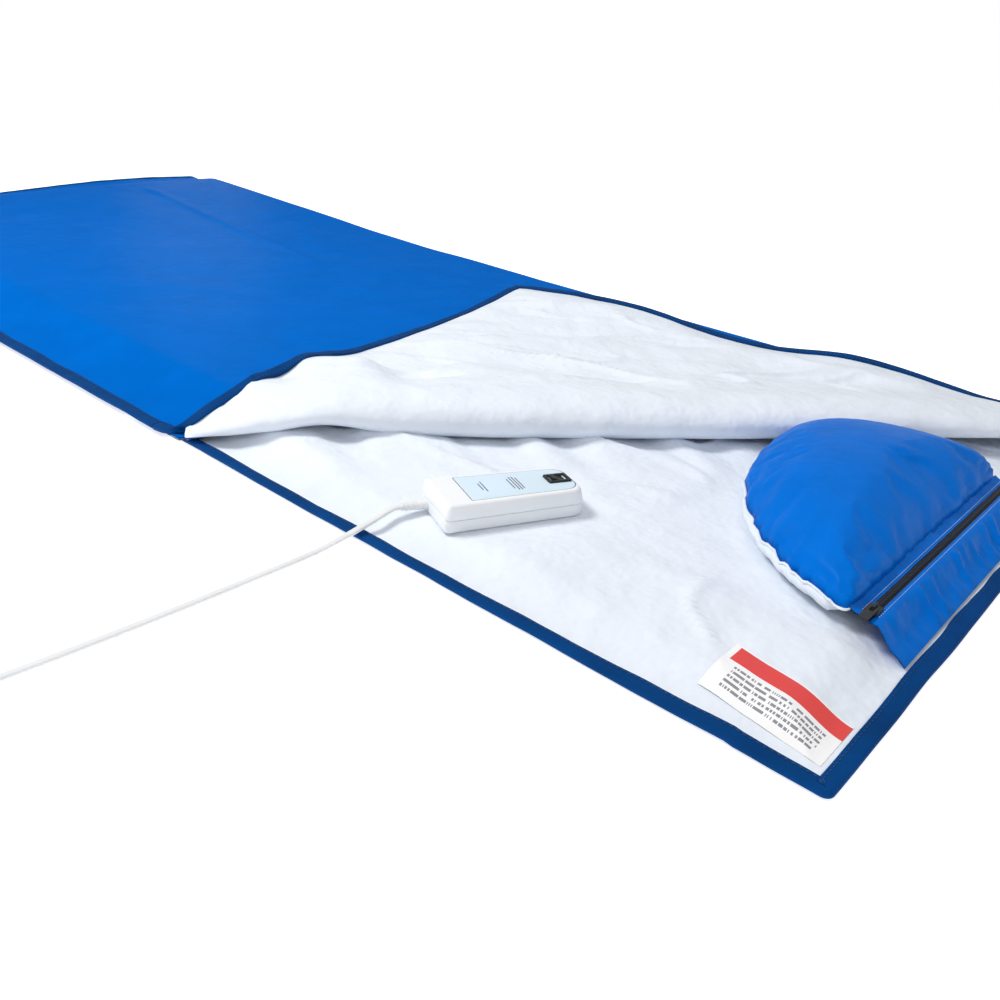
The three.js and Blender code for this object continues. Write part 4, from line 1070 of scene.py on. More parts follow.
def roll_section(s, t, outer):
    """Across the fold at s, the lining or the outer cloth inside it, with t from the cover to the flap."""
    k = np.clip(cloth_reach(s) / ROLL, 0.01, 1)
    low, top = at(ROLL_LOW, s) + 1.0, np.minimum(at(ROLL_TOP, s), start_height(s))
    last = flap_top(s, ROLL * k)
    h = top - low
    x, y = from_fold(s, LAP * k)
    if outer:
        cover = np.minimum(cover_top(x, y), top - 6)
        pts = [(LAP, cover), (5, cover + 0.4), (1.5, cover + 2), (3, np.minimum(cover + 6, top - 6)),
               (20, np.maximum(top - 11, cover + 2)), (50, np.maximum(top - 12, cover + 2)),
               (ROLL, flap_low(s, ROLL * k, last))]
    else:
        pts = [(LAP, low), (2, low - 0.4), (-8, low + 0.08 * h), (-15, low + 0.3 * h),
               (-15, low + 0.58 * h), (-7, low + 0.82 * h), (8, low + 0.96 * h), (30, top + 0.4),
               (56, mix(top, last, 0.55) + 1), (ROLL, last)]
    bulge = np.clip(h / 26, 0.1, 1)
    grid = np.stack([np.stack([d * (k if d > 0 else bulge), z + 0 * s], -1) for d, z in pts])
    out = np.zeros((len(s), len(t), 2))
    for i in range(len(s)):
        out[i] = spline(grid[:, i], t)
    return out


class SAUNA_OT_corner(bpy.types.Operator):
    """Makes the turned-back corner: the soft roll along the fold and the flap behind it"""

    bl_idname = "sauna.corner"
    bl_label = "Turned Corner"

    def execute(self, context):
        s_all = np.unique(np.concatenate([np.linspace(11, TIP_S, 100), np.linspace(TIP_S, FOLD - 3, 150)]))
        t = np.linspace(0, 1, 44)
        parts = {}
        v = np.linspace(0, 1, 74)
        for outer in (False, True):
            sec = roll_section(s_all, t, outer)
            s, around = s_all[:, None], t[None] * 60
            x, y = from_fold(s, sec[..., 0])
            z = sec[..., 1]
            if not outer:
                fade = smooth((t - 0.1) / 0.2) * smooth((1 - t) / 0.15)
                z = z + fade * (1.3 * noise(s, around, 60, 41) + 0.7 * noise(s, around, 24, 42))
            roll = np.stack([x, y, z], -1)
            k = np.clip(cloth_reach(s_all) / ROLL, 0.01, 1)
            d = ROLL * k[:, None] + v[None] * np.maximum(cloth_reach(s_all) - ROLL * k, 1.2)[:, None]
            s = np.repeat(s_all[:, None], len(v), 1)
            top = flap_top(s, d)
            z = flap_low(s, d, top) if outer else top
            fx, fy = from_fold(s, d)
            parts[outer] = np.concatenate([roll[:, :-1], np.stack([fx, fy, z], -1)], 1)
        m = len(t) - 1
        side = 1 if (grid_normals(parts[False])[:, m + 6:, 2].mean() > 0) else -1
        for outer, names in ((False, ("roll_lining_cloth", "flap_lining_cloth")),
                             (True, ("roll_outer_cloth", "flap_outer_cloth"))):
            g = parts[outer]
            n = grid_normals(g) * side * (-1 if outer else 1)
            key = "blue" if outer else "white"
            roll = shell(names[0], g[:, :m + 1], g[:, :m + 1] - n[:, :m + 1] * 0.8, [material(key)],
                         n[:, :m + 1])
            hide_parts(*(["flap_roll_felt"] if outer else ["flap_roll_lining"]))
            start, end = roll_blend()
            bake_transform(roll)
            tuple(start)
            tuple(end)
            keep = np.where(reach(s_all) > ROLL + 2)[0]
            g, n = g[keep[0] - 1:keep[-1] + 2, m:], n[keep[0] - 1:keep[-1] + 2, m:]
            flap = shell(names[1], g, g - n * 0.8, [material(key)], n)
            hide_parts(*(["flap_outer_sheet", "flap_insulation_felt"] if outer else ["flap_lining"]))
            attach(flap, "flap")
        return {"FINISHED"}


def tape_profile(n=9):
    """Folded tape over a quilt's edge: round outside, open-looking lips inside; (inwards, up) offsets."""
    a, r = np.linspace(math.pi / 2, 3 * math.pi / 2, n), 2.3
    outer = [(r + r * math.cos(v), r * math.sin(v)) for v in a]
    return np.array(outer + [(5, -2.35), (9, -2.2), (12.6, -1.9), (13.2, -1.5), (12.5, -0.8), (12.5, 0.8),
                             (13.2, 1.5), (12.7, 2.0), (9, 2.3), (5, 2.4)])


class SAUNA_OT_binding(bpy.types.Operator):
    """Makes the navy tape sewn round every edge, with its stitches"""

    bl_idname = "sauna.binding"
    bl_label = "Edge Binding"

    def execute(self, context):
        sizes = context.scene.sauna_sizes
        navy = material("navy")
        self.stitches = {"mat": [], "cover": [], "flap": []}
        # round the mat: far foot, near foot, near head, far head
        c = 7.0
        path = [(-HX, FAR_TAPE), (-HX, -HY + c), (-HX + c, -HY), (HX - c, -HY), (HX, -HY + c),
                (HX, FAR_TAPE)]
        pts, ins = [], []
        for k in range(len(path) - 1):
            (ax, ay), (bx, by) = path[k], path[k + 1]
            corner = k in (1, 3)
            n = 8 if corner else int(math.hypot(bx - ax, by - ay) / 6)
            for i in range(n):
                f = i / n
                if corner:
                    cx, cy = (-HX + c, -HY + c) if k == 1 else (HX - c, -HY + c)
                    ang = (math.pi if k == 1 else 1.5 * math.pi) + f * math.pi / 2
                    p = (cx + c * math.cos(ang), cy + c * math.sin(ang))
                    inward = (-math.cos(ang), -math.sin(ang))
                else:
                    p = (mix(ax, bx, f), mix(ay, by, f))
                    inward = {0: (1, 0), 2: (0, 1), 4: (-1, 0)}[k]
                pts.append(p)
                ins.append((*inward, 0))
        pts.append(path[-1])
        ins.append((-1, 0, 0))
        pts, ins = np.array(pts, float), np.array(ins, float)
        s = np.concatenate([[0], np.cumsum(np.hypot(*np.diff(pts, axis=0).T))])
        wander = 2.2 * noise(s, 0 * s, 150, 59) * (s > 800) * (s < 2480)
        pts = pts + ins[:, :2] * (0.6 * noise(s, 0 * s, 60, 51) + wander)[:, None]
        z = 2.9 + 0.9 * np.maximum(noise(s, 0 * s, 45, 52), 0)
        self.tape("mat_binding", np.column_stack([pts, z]), ins, np.tile((0, 0, 1.0), (len(z), 1)), navy,
                  "mat", ["mat_binding_near", "mat_binding_head", "mat_binding_foot"], seed=53,
                  slim=1 - 0.24 * smooth((s - 720) / 60) * smooth((2440 - s) / 200))
        # the cover: along its foot end from the fold, along its near edge, to the turned corner
        ys = np.linspace(FAR_TAPE, NEAR + c, 120)
        foot = np.array([(-HX, y, 6.1 + float(cover_edge_lift(y))) for y in ys])
        foot_in = np.tile((1.0, 0, 0), (len(ys), 1))
        bend = np.linspace(math.pi, 1.5 * math.pi, 10)[1:-1]
        turn = np.array([(-HX + c + c * math.cos(b), NEAR + c + c * math.sin(b), 6.1) for b in bend])
        turn_in = np.array([(-math.cos(b), -math.sin(b), 0) for b in bend])
        xs = np.linspace(-HX + c, P0[0] - 34, 190)
        near = np.array([(x, NEAR, 7.1) for x in xs])
        near_in = np.tile((0, 1.0, 0), (len(xs), 1))
        p, i = np.vstack([foot, turn, near]), np.vstack([foot_in, turn_in, near_in])
        s = np.arange(len(p)) * 6.0
        p[:, 2] = np.maximum(p[:, 2], 7.0) + 0.7 * np.maximum(noise(s, 0 * s, 50, 54), 0)
        self.tape("cover_binding", p, i, np.tile((0, 0, 1.0), (len(p), 1)), navy, "cover",
                  ["cover_binding_near", "cover_binding_foot"], seed=55)
        # round the near end of the fold, on to the flap
        edge_s = np.linspace(0, TIP_S, 130)
        es = np.concatenate([edge_s[:-1], np.linspace(TIP_S, FOLD - 4, 210)])
        ed = reach(es)
        x, y = from_fold(es, ed)
        z = flap_top(es, np.maximum(ed - 1.0, 0)) + mix(1.2, -0.6, smooth((es - 90) / 60))
        z = mix(z, np.maximum(eased(z, 60), z - 1.0), smooth((170 - es) / 50))
        flap = np.stack([x, y, z], -1)
        from_near, from_head = (np.array([*self.inward(*ends), 0]) for ends in ((P0, TIP), (TIP, FH)))
        inward = np.where((es < TIP_S - 1)[:, None], from_near, from_head)
        k = np.argmin(abs(es - TIP_S))
        for j in range(-3, 4):
            inward[k + j] = unit(mix(from_near, from_head, (j + 3.5) / 7))
        inner = flap + inward * 14
        s2, d2 = along_fold(inner[:, 0], inner[:, 1])
        rise = flap_top(s2, np.clip(d2, 0.5, None)) - 1.4
        inner[:, 2] = mix(z, rise, 0.55)
        side = unit(inner - flap)
        tangent = unit(np.gradient(flap, axis=0))
        up = unit(np.cross(side, tangent))
        up[up[:, 2] < 0] *= -1
        # this tape rises from the cover's to the flap's over the roll, in a smooth curve from a to b
        first = np.argmax(flap[:, 2] + 0.3 * ed > 62)
        low = np.argmax(es > 15)
        a, b = near[-1], flap[low]
        f = np.linspace(0, 1, 22)[:, None]
        c1 = np.array([P0[0] - 10, NEAR - 1, a[2]])
        c2 = np.array([P0[0] + 2, NEAR - 1, mix(a[2], b[2], 0.4)])
        hop = (1 - f) ** 3 * a + 3 * (1 - f) ** 2 * f * c1 + 3 * (1 - f) * f**2 * c2 + f**3 * b
        hop_in = unit(mix(near_in[-1], side[low], smooth(f)))
        hop = eased(np.vstack([hop, flap[low + 1:first + 1]]), 30)
        hop_in = np.vstack([hop_in, side[low + 1:first + 1]])
        for _ in range(30):
            hop_in[1:-1] = unit(hop_in[:-2] + 2 * hop_in[1:-1] + hop_in[2:])
        settled = up[np.argmax(es > 45)]
        later = np.where((es[low + 1:first + 1] < 45)[:, None], settled, up[low + 1:first + 1])
        turn = smooth(np.arange(len(hop)) / 30)[:, None]
        hop_up = unit(mix(np.array([0, 0, 1.0]), np.vstack([np.tile(settled, (len(f), 1)), later]), turn))
        hop_up = unit(hop_up - hop_in * (hop_up * hop_in).sum(1, keepdims=True))
        self.tape("fold_end_binding", hop, hop_in, hop_up, navy, ("cover", "flap"), [], seed=56, fat=1.3,
                  blend=roll_blend())
        self.tape("flap_binding", flap[first:], side[first:], up[first:], navy, "flap",
                  ["flap_binding_near", "flap_binding_head"], seed=57, fat=1.3)
        # round the far fold, at the foot end and at the head end
        b = np.linspace(-math.pi / 2, math.pi / 2, 30)
        for name, x0, hi, out, inward in (("fold_foot_binding", -HX, foot[0][2], 14.0, (1.0, 0, 0)),
                                          ("fold_head_binding", HX, flap[-1][2], 12.0, (-1.0, 0, 0))):
            r = (hi - 2.5) / 2
            p = np.stack([np.full(len(b), x0), FAR_TAPE + out * np.cos(b), 2.5 + r + r * np.sin(b)], -1)
            up = unit(np.stack([0 * b, np.cos(b) * r, np.sin(b) * out], -1))
            self.tape(name, p, np.tile(inward, (len(b), 1)), up, navy, ("mat", "cover"), [], seed=58,
                      blend=((0, 0.375, 0.008), (0, 0.375, 0.024)))
        for body, lines in self.stitches.items():
            obj = repeated(body + "_binding_stitches", lines, "stitch", material("thread_dark"),
                           sizes.stitch_pitch * 1000, sizes.stitch_length * 1000, sizes.thread * 1000)
            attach(obj, body)
        return {"FINISHED"}

    @staticmethod
    def inward(a, b):
        """The level direction from the edge a to b into the turned corner."""
        t = unit(np.asarray(b) - np.asarray(a))
        n = np.array([t[1], -t[0]])
        middle = (P0 + TIP + FH) / 3
        return n if n @ (middle - a) > 0 else -n

    def tape(self, name, path, side, up, look, body, nodes, seed, blend=None, fat=1.0, slim=1.0):
        """One length of tape along a path of the quilt's edge, a little uneven in width and thickness."""
        path = np.asarray(path, float)
        s = way_along(path)
        profile = np.repeat(tape_profile()[None], len(path), 0)
        ends = smooth(s / 30) * smooth((s[-1] - s) / 30)
        wide = slim * (1 + 0.09 * ends * noise(s, 0 * s, 35, seed))
        thick = fat * (1 + 0.12 * ends * noise(s, 0 * s + 9, 17, seed))
        profile = profile * np.stack([wide, thick], -1)[:, None]
        obj = sweep(name, path, side, up, profile, [look])
        if nodes:
            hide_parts(*nodes)
        if blend:
            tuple(blend[0])
            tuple(blend[1])
            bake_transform(obj)
        else:
            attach(obj, body)
            self.stitches[body].append(path + side * 10.4 * wide[:, None] + up * (2.35 * thick)[:, None])
        return obj


def dee(scale, n=140):
    """The pillow's outline: a deep half-round with a straight side to the head, (n, 2)."""
    t = np.linspace(0, np.pi, n - 40)
    y = PILLOW_Y + PILLOW_W / 2 * np.cos(t)
    far, near = np.clip((y - 30) / 123, 0, 1), np.clip((30 - y) / 247, 0, 1)
    depth = PILLOW_D * (1 - far**2.6) ** 0.6 * (1 - near**2) ** 0.7
    arc = np.stack([PILLOW_BACK - depth, y], -1)
    flat = np.stack([np.full(42, PILLOW_BACK), np.linspace(arc[-1, 1], arc[0, 1], 42)], -1)[1:-1]
    p = np.vstack([arc, flat])
    for _ in range(6):
        p = (np.roll(p, 1, 0) + 2 * p + np.roll(p, -1, 0)) / 4
    middle = np.array([PILLOW_BACK - 74, PILLOW_Y + 16])
    return middle + (p - middle) * scale


class SAUNA_OT_pillow(bpy.types.Operator):
    """Makes the pillow's two panels, its piped seam and the strip that holds it"""

    bl_idname = "sauna.pillow"
    bl_label = "Pillow"

    def execute(self, context):
        n = 140
        r = np.concatenate([np.linspace(1, 0.82, 12), np.linspace(0.8, 0.02, 24)])
        ring = np.array([dee(v, n) for v in r])
        angle = np.arange(n) / n * 2 * np.pi
        straight = np.exp(-(((dee(1, n)[:, 0] - PILLOW_BACK) / 16) ** 2))[None]
        top_h = 43.5 * (1 - r ** 3.0) ** 0.6
        around = np.repeat(angle[None] * 60, len(r), 0)
        gather = noise(around, np.repeat(r[:, None] * 9, n, 1), 2.6, 61)
        fade = np.exp(-(1 - r) / 0.11)[:, None]
        rim = smooth((1 - r) / 0.03)[:, None]
        z = SEAM_Z + 0.4 + top_h[:, None] + rim * fade * 1.9 * gather
        z = z + smooth((1 - r) / 0.2)[:, None] * 1.4 * noise(ring[..., 0], ring[..., 1], 55, 62)
        dimple = np.exp(-(((ring[..., 1] + 120) / 60) ** 2)) * np.exp(-(((ring[..., 0] - 800) / 40) ** 2))
        z = z - smooth((1 - r) / 0.1)[:, None] * 3.5 * dimple
        scallop = 2.0 * noise(angle * 60, 0 * angle, 4.2, 63) * (1 - straight[0])
        dip = 2.4 * noise(angle * 60, 0 * angle + 5, 5.0, 64) * (1 - straight[0])
        out = unit(ring - ring[-1].mean(0))
        move = (scallop[None] * np.exp(-(1 - r) / 0.08)[:, None])[..., None]
        z = z + dip[None] * np.exp(-(1 - r) / 0.05)[:, None]
        top = np.concatenate([ring + out * move, z[..., None]], -1)
        top[..., 2] = np.minimum(top[..., 2], 77.5)
        # underside: out from where it rests, up to the seam
        rb = np.array([1.0, 0.985, 0.96, 0.925, 0.88, 0.82, 0.74, 0.6, 0.3, 0.03])
        zb = np.array([SEAM_Z - 0.3, SEAM_Z - 3, SEAM_Z - 6.6, SEAM_Z - 10.2, SEAM_Z - 13.4, 12.9, 12.1,
                       12.05, 12.05, 12.05])
        ring_b = np.array([dee(v, n) for v in rb])
        out_b = unit(ring_b - ring_b[-1].mean(0))
        belly = np.array([0, 0.5, 0.85, 1, 0.95, 0.6, 0.25, 0, 0, 0])[:, None]
        side = smooth((-50 - ring_b[..., 1]) / 90)
        side = side * smooth((ring_b[..., 0].max() - 8 - ring_b[..., 0]) / 12)
        move_b = (scallop[None] * np.exp(-(1 - rb) / 0.08)[:, None] + 11 * belly * side)[..., None]
        wob = 1.5 * noise(np.repeat(angle[None] * 60, len(rb), 0), np.repeat(rb[:, None] * 20, n, 1), 3.0, 65)
        sag = np.array([0, 0.6, 1, 1, 0.6, 0.2, 0, 0, 0, 0])[:, None]
        low_z = zb[:, None] + dip[None] * np.exp(-(1 - rb) / 0.05)[:, None] + np.maximum(wob, 0) * sag
        low = np.concatenate([ring_b + out_b * move_b, low_z[..., None]], -1)
        cap = loft("pillow_top_cloth", top, [material("blue_pillow")])
        self.fill_out(cap, 5.0)
        cup = loft("pillow_bottom_cloth", low, [material("white")])
        for obj, slot, nodes in ((cap, "outer_nylon", ["pillow_top_panel"]),
                                 (cup, "lining_nylon", ["pillow_bottom_panel", "pillow_filling"])):
            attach(obj, "pillow")
            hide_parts(*nodes)
        edge = top[0] + np.array([0, 0, -0.6])
        a = np.linspace(0, 2 * np.pi, 8, endpoint=False)
        outward = np.concatenate([out[0], np.zeros((n, 1))], -1)
        lip = np.stack([1.6 * np.cos(a) + 0.8, 0.9 * np.sin(a)], -1)
        keep = np.arange(0, n - 39)
        up = np.tile((0, 0, 1.0), (len(keep), 1))
        seam = sweep("pillow_seam", edge[keep], outward[keep], up, lip, [material("white")])
        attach(seam, "pillow")
        self.strip()
        return {"FINISHED"}

    @staticmethod
    def fill_out(obj, cap):
        """Blows the panel up as stuffing does, with each point kept within cap millimetres of its place."""
        scene = bpy.context.scene
        start = np.array([v.co for v in obj.data.vertices], float)
        group = obj.vertex_groups.new(name="hold")
        low = start[:, 2] < SEAM_Z * 0.001 + 0.004
        group.add([int(i) for i in np.where(low)[0]], 1.0, "REPLACE")
        mod = obj.modifiers.new("stuffing", "CLOTH")
        cloth = mod.settings
        cloth.quality = 6
        cloth.mass = 0.2
        cloth.tension_stiffness = cloth.compression_stiffness = 12
        cloth.bending_stiffness = 0.2
        cloth.use_pressure = True
        cloth.uniform_pressure_force = 4
        cloth.vertex_group_mass = "hold"
        cloth.effector_weights.gravity = 0.0
        cloth.shrink_min = -0.02
        mod.collision_settings.use_self_collision = False
        frames = 20
        mod.point_cache.frame_start, mod.point_cache.frame_end = 1, frames
        for f in range(1, frames + 1):
            scene.frame_set(f)
        graph = bpy.context.evaluated_depsgraph_get()
        done = obj.evaluated_get(graph).to_mesh()
        moved = np.array([v.co for v in done.vertices], float)
        obj.evaluated_get(graph).to_mesh_clear()
        obj.modifiers.remove(mod)
        obj.vertex_groups.remove(group)
        scene.frame_set(1)
        step = moved - start
        far = np.linalg.norm(step, axis=1, keepdims=True)
        step *= np.minimum(1, cap * 0.001 / np.maximum(far, 1e-9))
        step[~np.isfinite(step)] = 0
        obj.data.vertices.foreach_set("co", (start + step).ravel().tolist())
        obj.data.update()

    @staticmethod
    def strip():
        """The gathered strip from the zip down to the head binding."""
        ys = np.linspace(ZIP_Y0 - 8, ZIP_Y1 + 8, 150)
        t = np.linspace(0, 1, 16)
        line = spline([(ZIP_X + 3.8, ZIP_Z + 0.7), (ZIP_X + 10, ZIP_Z + 0.2), (ZIP_X + 17, 18.6),
                       (ZIP_X + 23, 12.2), (884.2, 5.6)], t)
        y, k = np.meshgrid(ys, t, indexing="ij")
        x, z = line[None, :, 0] + 0 * y, line[None, :, 1] + 0 * y
        fan = smooth((k - 0.15) / 0.3) * smooth((1.0 - k) / 0.15)
        fold = np.maximum(noise(y * (1 + 0.12 * k) + 8 * k, k * 3, 13, 71), -0.2)
        fold = fold + 0.5 * noise(y, k * 6, 6.5, 72)
        z = z + fan * 3.3 * fold + 1.2 * fan
        x = x + fan * 0.8 * fold
        face = np.stack([x, y, z], -1)
        obj = shell("pillow_strip_cloth", face, face - (0.35, 0, 0.7), [material("blue_pillow")],
                    oriented(face, (0.3, 0, 1)))
        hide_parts("pillow_strip")
        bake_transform(obj)


class SAUNA_OT_zip(bpy.types.Operator):
    """Makes the zip's tapes and teeth with their stitches, and dresses its slider"""

    bl_idname = "sauna.zip"
    bl_label = "Zip"

    def execute(self, context):
        sizes = context.scene.sauna_sizes
        ys = np.linspace(ZIP_Y0 - 4, ZIP_Y1 + 4, 90)
        for name, a, b, lift, node in (
                ("zip_tape_pillow", PILLOW_BACK - 1.0, ZIP_X - 1.7, 2.2, "zip_tape_pillow_side"),
                ("zip_tape_strip", ZIP_X + 1.7, ZIP_X + 6.5, 0.3, "zip_tape_strip_side")):
            k = np.linspace(0, 1, 8)
            y, f = np.meshgrid(ys, k, indexing="ij")
            outer = f if a > ZIP_X else 1 - f
            z = ZIP_Z - 0.1 + outer**2 * lift + 0.25 * noise(y, f, 14, 81) * outer
            face = np.stack([mix(a, b, f), y, z], -1)
            obj = shell(name, face, face - (0, 0, 0.6), [material("zip")], oriented(face, (0, 0, 1)))
            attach(obj, "pillow")
            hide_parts(node)
        y, f = np.meshgrid(ys, np.linspace(0, 1, 7), indexing="ij")
        z = ZIP_Z + 0.9 + (1 - f) ** 2 * 3.4 + 0.3 * noise(y, f, 12, 82)
        x = mix(PILLOW_BACK - 1.5, ZIP_X - 3.6, f) + 0.25 * noise(y, f * 3, 9, 83)
        face = np.stack([x, y, z], -1)
        hem = shell("pillow_zip_hem", face, face - (0, 0, 0.8), [material("blue_pillow")],
                    oriented(face, (0, 0, 1)))
        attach(hem, "pillow")
        pitch = sizes.tooth_pitch * 1000
        for name, x, shift, node in (("zip_teeth_pillow", ZIP_X - 0.9, 0.0, "zip_teeth_pillow_side"),
                                     ("zip_teeth_strip", ZIP_X + 0.9, pitch / 2, "zip_teeth_strip_side")):
            line = [(x, y, ZIP_Z + 0.2) for y in np.arange(ZIP_Y0 + 3 + shift, ZIP_Y1 - 2, pitch * 4)]
            obj = repeated(name, [line], "tooth", material("zip"), pitch, pitch * 0.52, 2.3)
            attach(obj, "pillow")
            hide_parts(node)
        lines = [[(x, y, z) for y in ys[2:-2]]
                 for x, z in ((ZIP_X - 5.6, ZIP_Z + 1.9), (ZIP_X + 6.4, ZIP_Z + 1.1))]
        obj = repeated("zip_stitches", lines, "stitch", material("thread"), 3.4, 2.4, 0.7)
        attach(obj, "pillow")
        dress(["zip_stop_far", "zip_slider_body", "zip_pull_tab"], "black")
        return {"FINISHED"}


class SAUNA_OT_label(bpy.types.Operator):
    """Makes the plain care label, sewn in under the head binding"""

    bl_idname = "sauna.label"
    bl_label = "Label"

    def execute(self, context):
        a, b, c, d = (np.array(p, float) for p in ((796, -342), (796, -292), (884, -303), (884, -353)))
        u, v = np.meshgrid(np.linspace(0, 1, 60), np.linspace(0, 1, 34), indexing="ij")
        low, high = mix(a, d, u[..., None]), mix(b, c, u[..., None])
        xy = mix(low, high, v[..., None])
        x, y = xy[..., 0], xy[..., 1]
        curl = 1.6 * smooth((0.35 - u) / 0.35) * (0.35 + 0.65 * v)
        z = mat_top(x, y) + 0.35 + curl + 0.5 * (noise(x, y, 18, 91) + 0.6) * smooth((0.95 - u) / 0.3)
        face = np.stack([x, y, z], -1)
        obj = shell("label_cloth", face, face - (0, 0, 0.25), [material("label")], oriented(face, (0, 0, 1)),
                    uv=np.stack([u, v], -1))
        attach(obj, "mat")
        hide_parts("care_label")
        return {"FINISHED"}


def box_outline(inset, taper):
    """The controller seen from above: square cord end, rounded head end."""
    l, w = 64.0 - inset, 28.5 - inset
    q, r = max(1.2, 5 - inset), max(2.0, 13 - inset)
    return arcs(((l - taper - r, w - 3.5 - r, r, 0), (-l + q, w - q, q, 90), (-l + q, -w + q, q, 180),
                 (l - taper - r, -w + 3.5 + r, r, 270)), CORNER_STEPS)


def dense(points):
    """The outline with its long sides split, the same way whatever its size."""
    out = []
    for i in range(len(points)):
        a, b = points[i], points[(i + 1) % len(points)]
        n = 12 if i % (CORNER_STEPS + 1) == CORNER_STEPS else 1
        out += [mix(a, b, k / n) for k in range(n)]
    return np.array(out)


def placed(xy, z):
    """An outline of the controller's, at z above its underside, where it lies on the mat."""
    return np.stack([*box_point(xy[:, 0], xy[:, 1]), np.full(len(xy), BOX_Z + z)], -1)


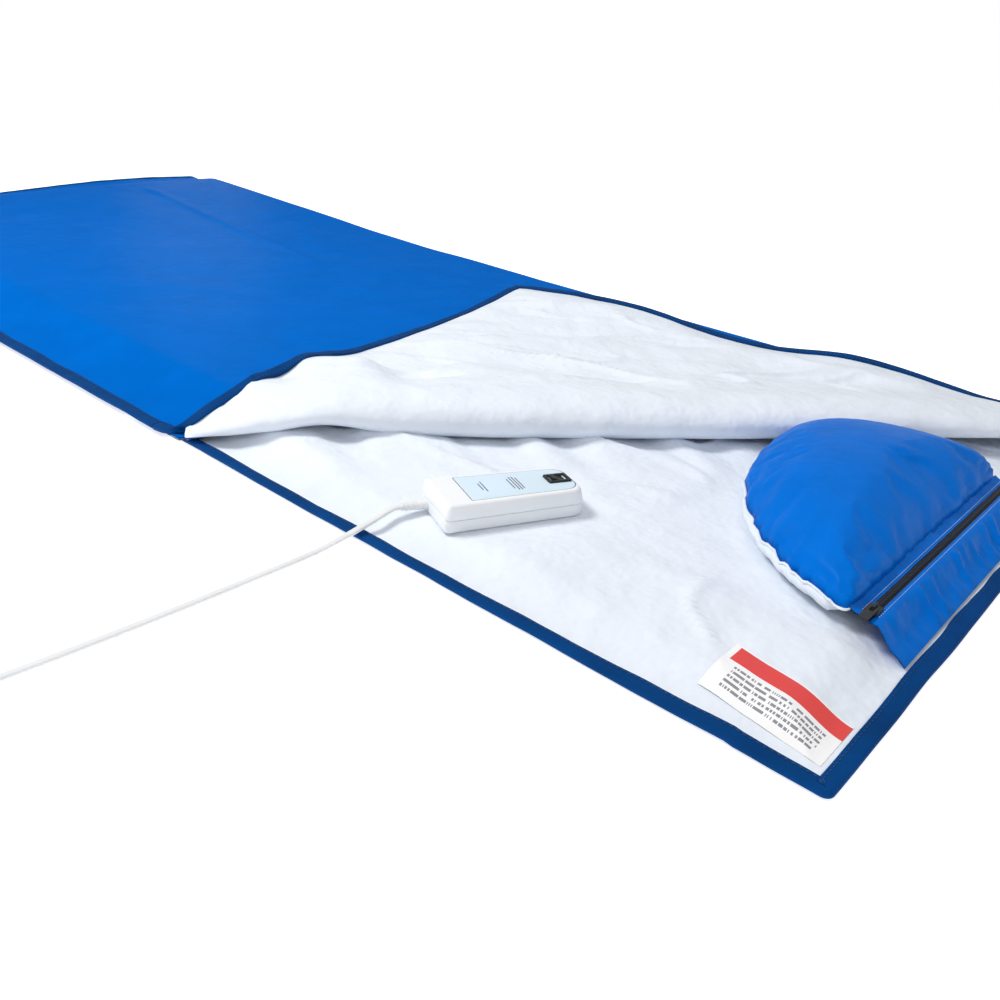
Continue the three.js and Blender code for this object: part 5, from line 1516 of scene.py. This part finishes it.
class SAUNA_OT_controller(bpy.types.Operator):
    """Makes the controller's moulded case, face plate, switch and plain printed marks"""

    bl_idname = "sauna.controller"
    bl_label = "Controller"

    def execute(self, context):
        # (inset, taper of the head end, height) of each outline, from the underside up
        base = [(2.6, 0, 0.1), (0.9, 0, 0.4), (0.25, 0, 1.2), (0, 0, 2.2), (0, 0, 10.3), (0.15, 0, 10.7),
                (0.5, 0, 10.85)]
        lid = [(0.5, 0, 11.12), (0.15, 0, 11.25), (0.0, 0, 11.6), (0.35, 0.7, 16), (0.8, 1.5, 20.4),
               (1.1, 1.9, 21.8), (1.7, 2.3, 22.9), (2.6, 2.7, 23.6), (3.6, 3.0, 23.95)]
        self.case("controller_base", base, "controller_base_shell")
        self.case("controller_lid", lid, "controller_top_shell")
        self.plate()
        self.switch()
        # short lines across the face: place along it, then half the length
        for k, (x, half) in enumerate(((3, 9), (6, 12), (8.6, 12), (11.2, 10), (-24, 6), (-21, 9))):
            rings = []
            for z, g in ((24.05, 0), (24.22, 0), (24.26, 0.12)):
                x0, x1, y = x - 0.5 + g, x + 0.5 - g, half - g
                rings.append(placed(np.array([(x0, -y), (x1, -y), (x1, y), (x0, y)]), z))
            obj = loft(f"printed_mark_{k + 1}", rings, [material("mark")])
            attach(obj, "mat")
        dress(["circuit_board", "terminal_block"], "board")
        dress(["relay"], "black")
        dress([f"controller_screw_{k}" for k in (1, 2, 3, 4)], "steel")
        return {"FINISHED"}

    @staticmethod
    def case(name, rows, node):
        rings = [placed(dense(box_outline(i, t)), z) for i, t, z in rows]
        obj = loft(name, rings, [material("shell")])
        for f in obj.data.polygons:
            if len(f.vertices) == 3:
                f.use_smooth = False
        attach(obj, "mat")
        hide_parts(node)

    @staticmethod
    def plate():
        """The face plate, and a thin dark grey ring of painted shade where it sits in the case."""
        x0, x1, w, r, q = -39.7, 57.7, 21.7, 11.7, 1.5
        pts = arcs(((x1 - r, w - 2 - r, r, 0), (x0 + q, w - q, q, 90), (x0 + q, -w + q, q, 180),
                    (x1 - r, -w + 2 + r, r, 270)), 8)
        middle = pts.mean(0)
        rings = [placed(middle + (pts - middle) * (1 - g / 24), z)
                 for z, g in ((23.2, 0), (23.9, 0), (24.05, 0.1), (24.12, 0.4))]
        obj = loft("face_plate", rings, [material("panel")])
        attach(obj, "mat")
        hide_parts("controller_face_plate")
        # a dark grey ring round the plate's edge: painted shade for the gap between plate and case
        rings = [placed(middle + (pts - middle) * k, z)
                 for z, k in ((23.9, 1.016), (24.02, 1.012), (24.02, 1.0), (23.9, 0.995))]
        obj = hoop("face_plate_painted_shade", np.array(rings), [material("mark")])
        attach(obj, "mat")

    @staticmethod
    def switch():
        """The rocker's frame, and the rocker itself."""
        middle = 46.0
        rings = []
        # half the length, half the width, corner radius and height of each outline
        for w, h, r, z in ((7.6, 4.6, 0.8, 20.5), (10.4, 7.4, 1.4, 20.5), (10.5, 7.5, 1.4, 24.2),
                           (10.3, 7.3, 1.3, 25.5), (9.9, 6.9, 1.2, 25.9), (8.3, 5.3, 0.8, 25.9),
                           (7.8, 4.8, 0.7, 25.4), (7.6, 4.6, 0.7, 22.0)):
            right, left = middle + (w - r), middle + (-w + r)
            rings.append(placed(arcs(((right, h - r, r, 0), (left, h - r, r, 90), (left, -h + r, r, 180),
                                      (right, -h + r, r, 270)), 5), z))
        obj = hoop("switch_frame", np.array(rings), [material("black")])
        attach(obj, "mat")
        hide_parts("rocker_switch_frame")
        # the button seen from its side: a shallow V, standing up at one end
        side = [(6.2, 3.3), (5.6, 3.5), (0, 1.3), (-5.6, 0.6), (-6.2, 0.2), (-6.0, -2.2), (-2, -4.6),
                (2, -4.6), (6.0, -2.2)]
        rings = []
        for y, g in ((-4.1, 0.3), (-3.9, 0.08), (-3.5, 0), (3.5, 0), (3.9, 0.08), (4.1, 0.3)):
            xy = np.array([(middle - x * (1 - g * 0.06), y) for x, _ in side])
            rings.append(placed(xy, 0) + np.array([(0, 0, 24 + z - (g if z > -2 else -g)) for _, z in side]))
        obj = loft("rocker_cap", rings, [material("black")])
        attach(obj, "rocker")
        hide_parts("rocker_button")


class SAUNA_PT_panel(bpy.types.Panel):
    """Sizes, colours and the buttons that make each piece"""

    bl_idname = "SAUNA_PT_panel"
    bl_label = "Sauna Blanket"
    bl_space_type = "VIEW_3D"
    bl_region_type = "UI"
    bl_category = "Sauna Blanket"

    def draw(self, context):
        for group in (context.scene.sauna_sizes, context.scene.sauna_looks):
            for key in group.bl_rna.properties.keys():
                if key not in ("rna_type", "name"):
                    self.layout.prop(group, key)
        for op in OPERATORS:
            self.layout.operator(op.bl_idname)


OPERATORS = (SAUNA_OT_stage, SAUNA_OT_cord, SAUNA_OT_mat, SAUNA_OT_cover, SAUNA_OT_corner, SAUNA_OT_binding,
             SAUNA_OT_pillow, SAUNA_OT_zip, SAUNA_OT_label, SAUNA_OT_controller)
CLASSES = (SaunaSizes, SaunaLooks, *OPERATORS, SAUNA_PT_panel)


def register():
    for cls in CLASSES:
        bpy.utils.register_class(cls)
    bpy.types.Scene.sauna_sizes = bpy.props.PointerProperty(type=SaunaSizes)
    bpy.types.Scene.sauna_looks = bpy.props.PointerProperty(type=SaunaLooks)


def unregister():
    del bpy.types.Scene.sauna_sizes
    del bpy.types.Scene.sauna_looks
    for cls in reversed(CLASSES):
        bpy.utils.unregister_class(cls)


def main():
    register()
    bpy.ops.sauna.stage()
    bpy.ops.sauna.cord()
    bpy.ops.sauna.mat()
    bpy.ops.sauna.cover()
    bpy.ops.sauna.corner()
    bpy.ops.sauna.binding()
    bpy.ops.sauna.pillow()
    bpy.ops.sauna.zip()
    bpy.ops.sauna.label()
    bpy.ops.sauna.controller()


if __name__ == "__main__":
    main()
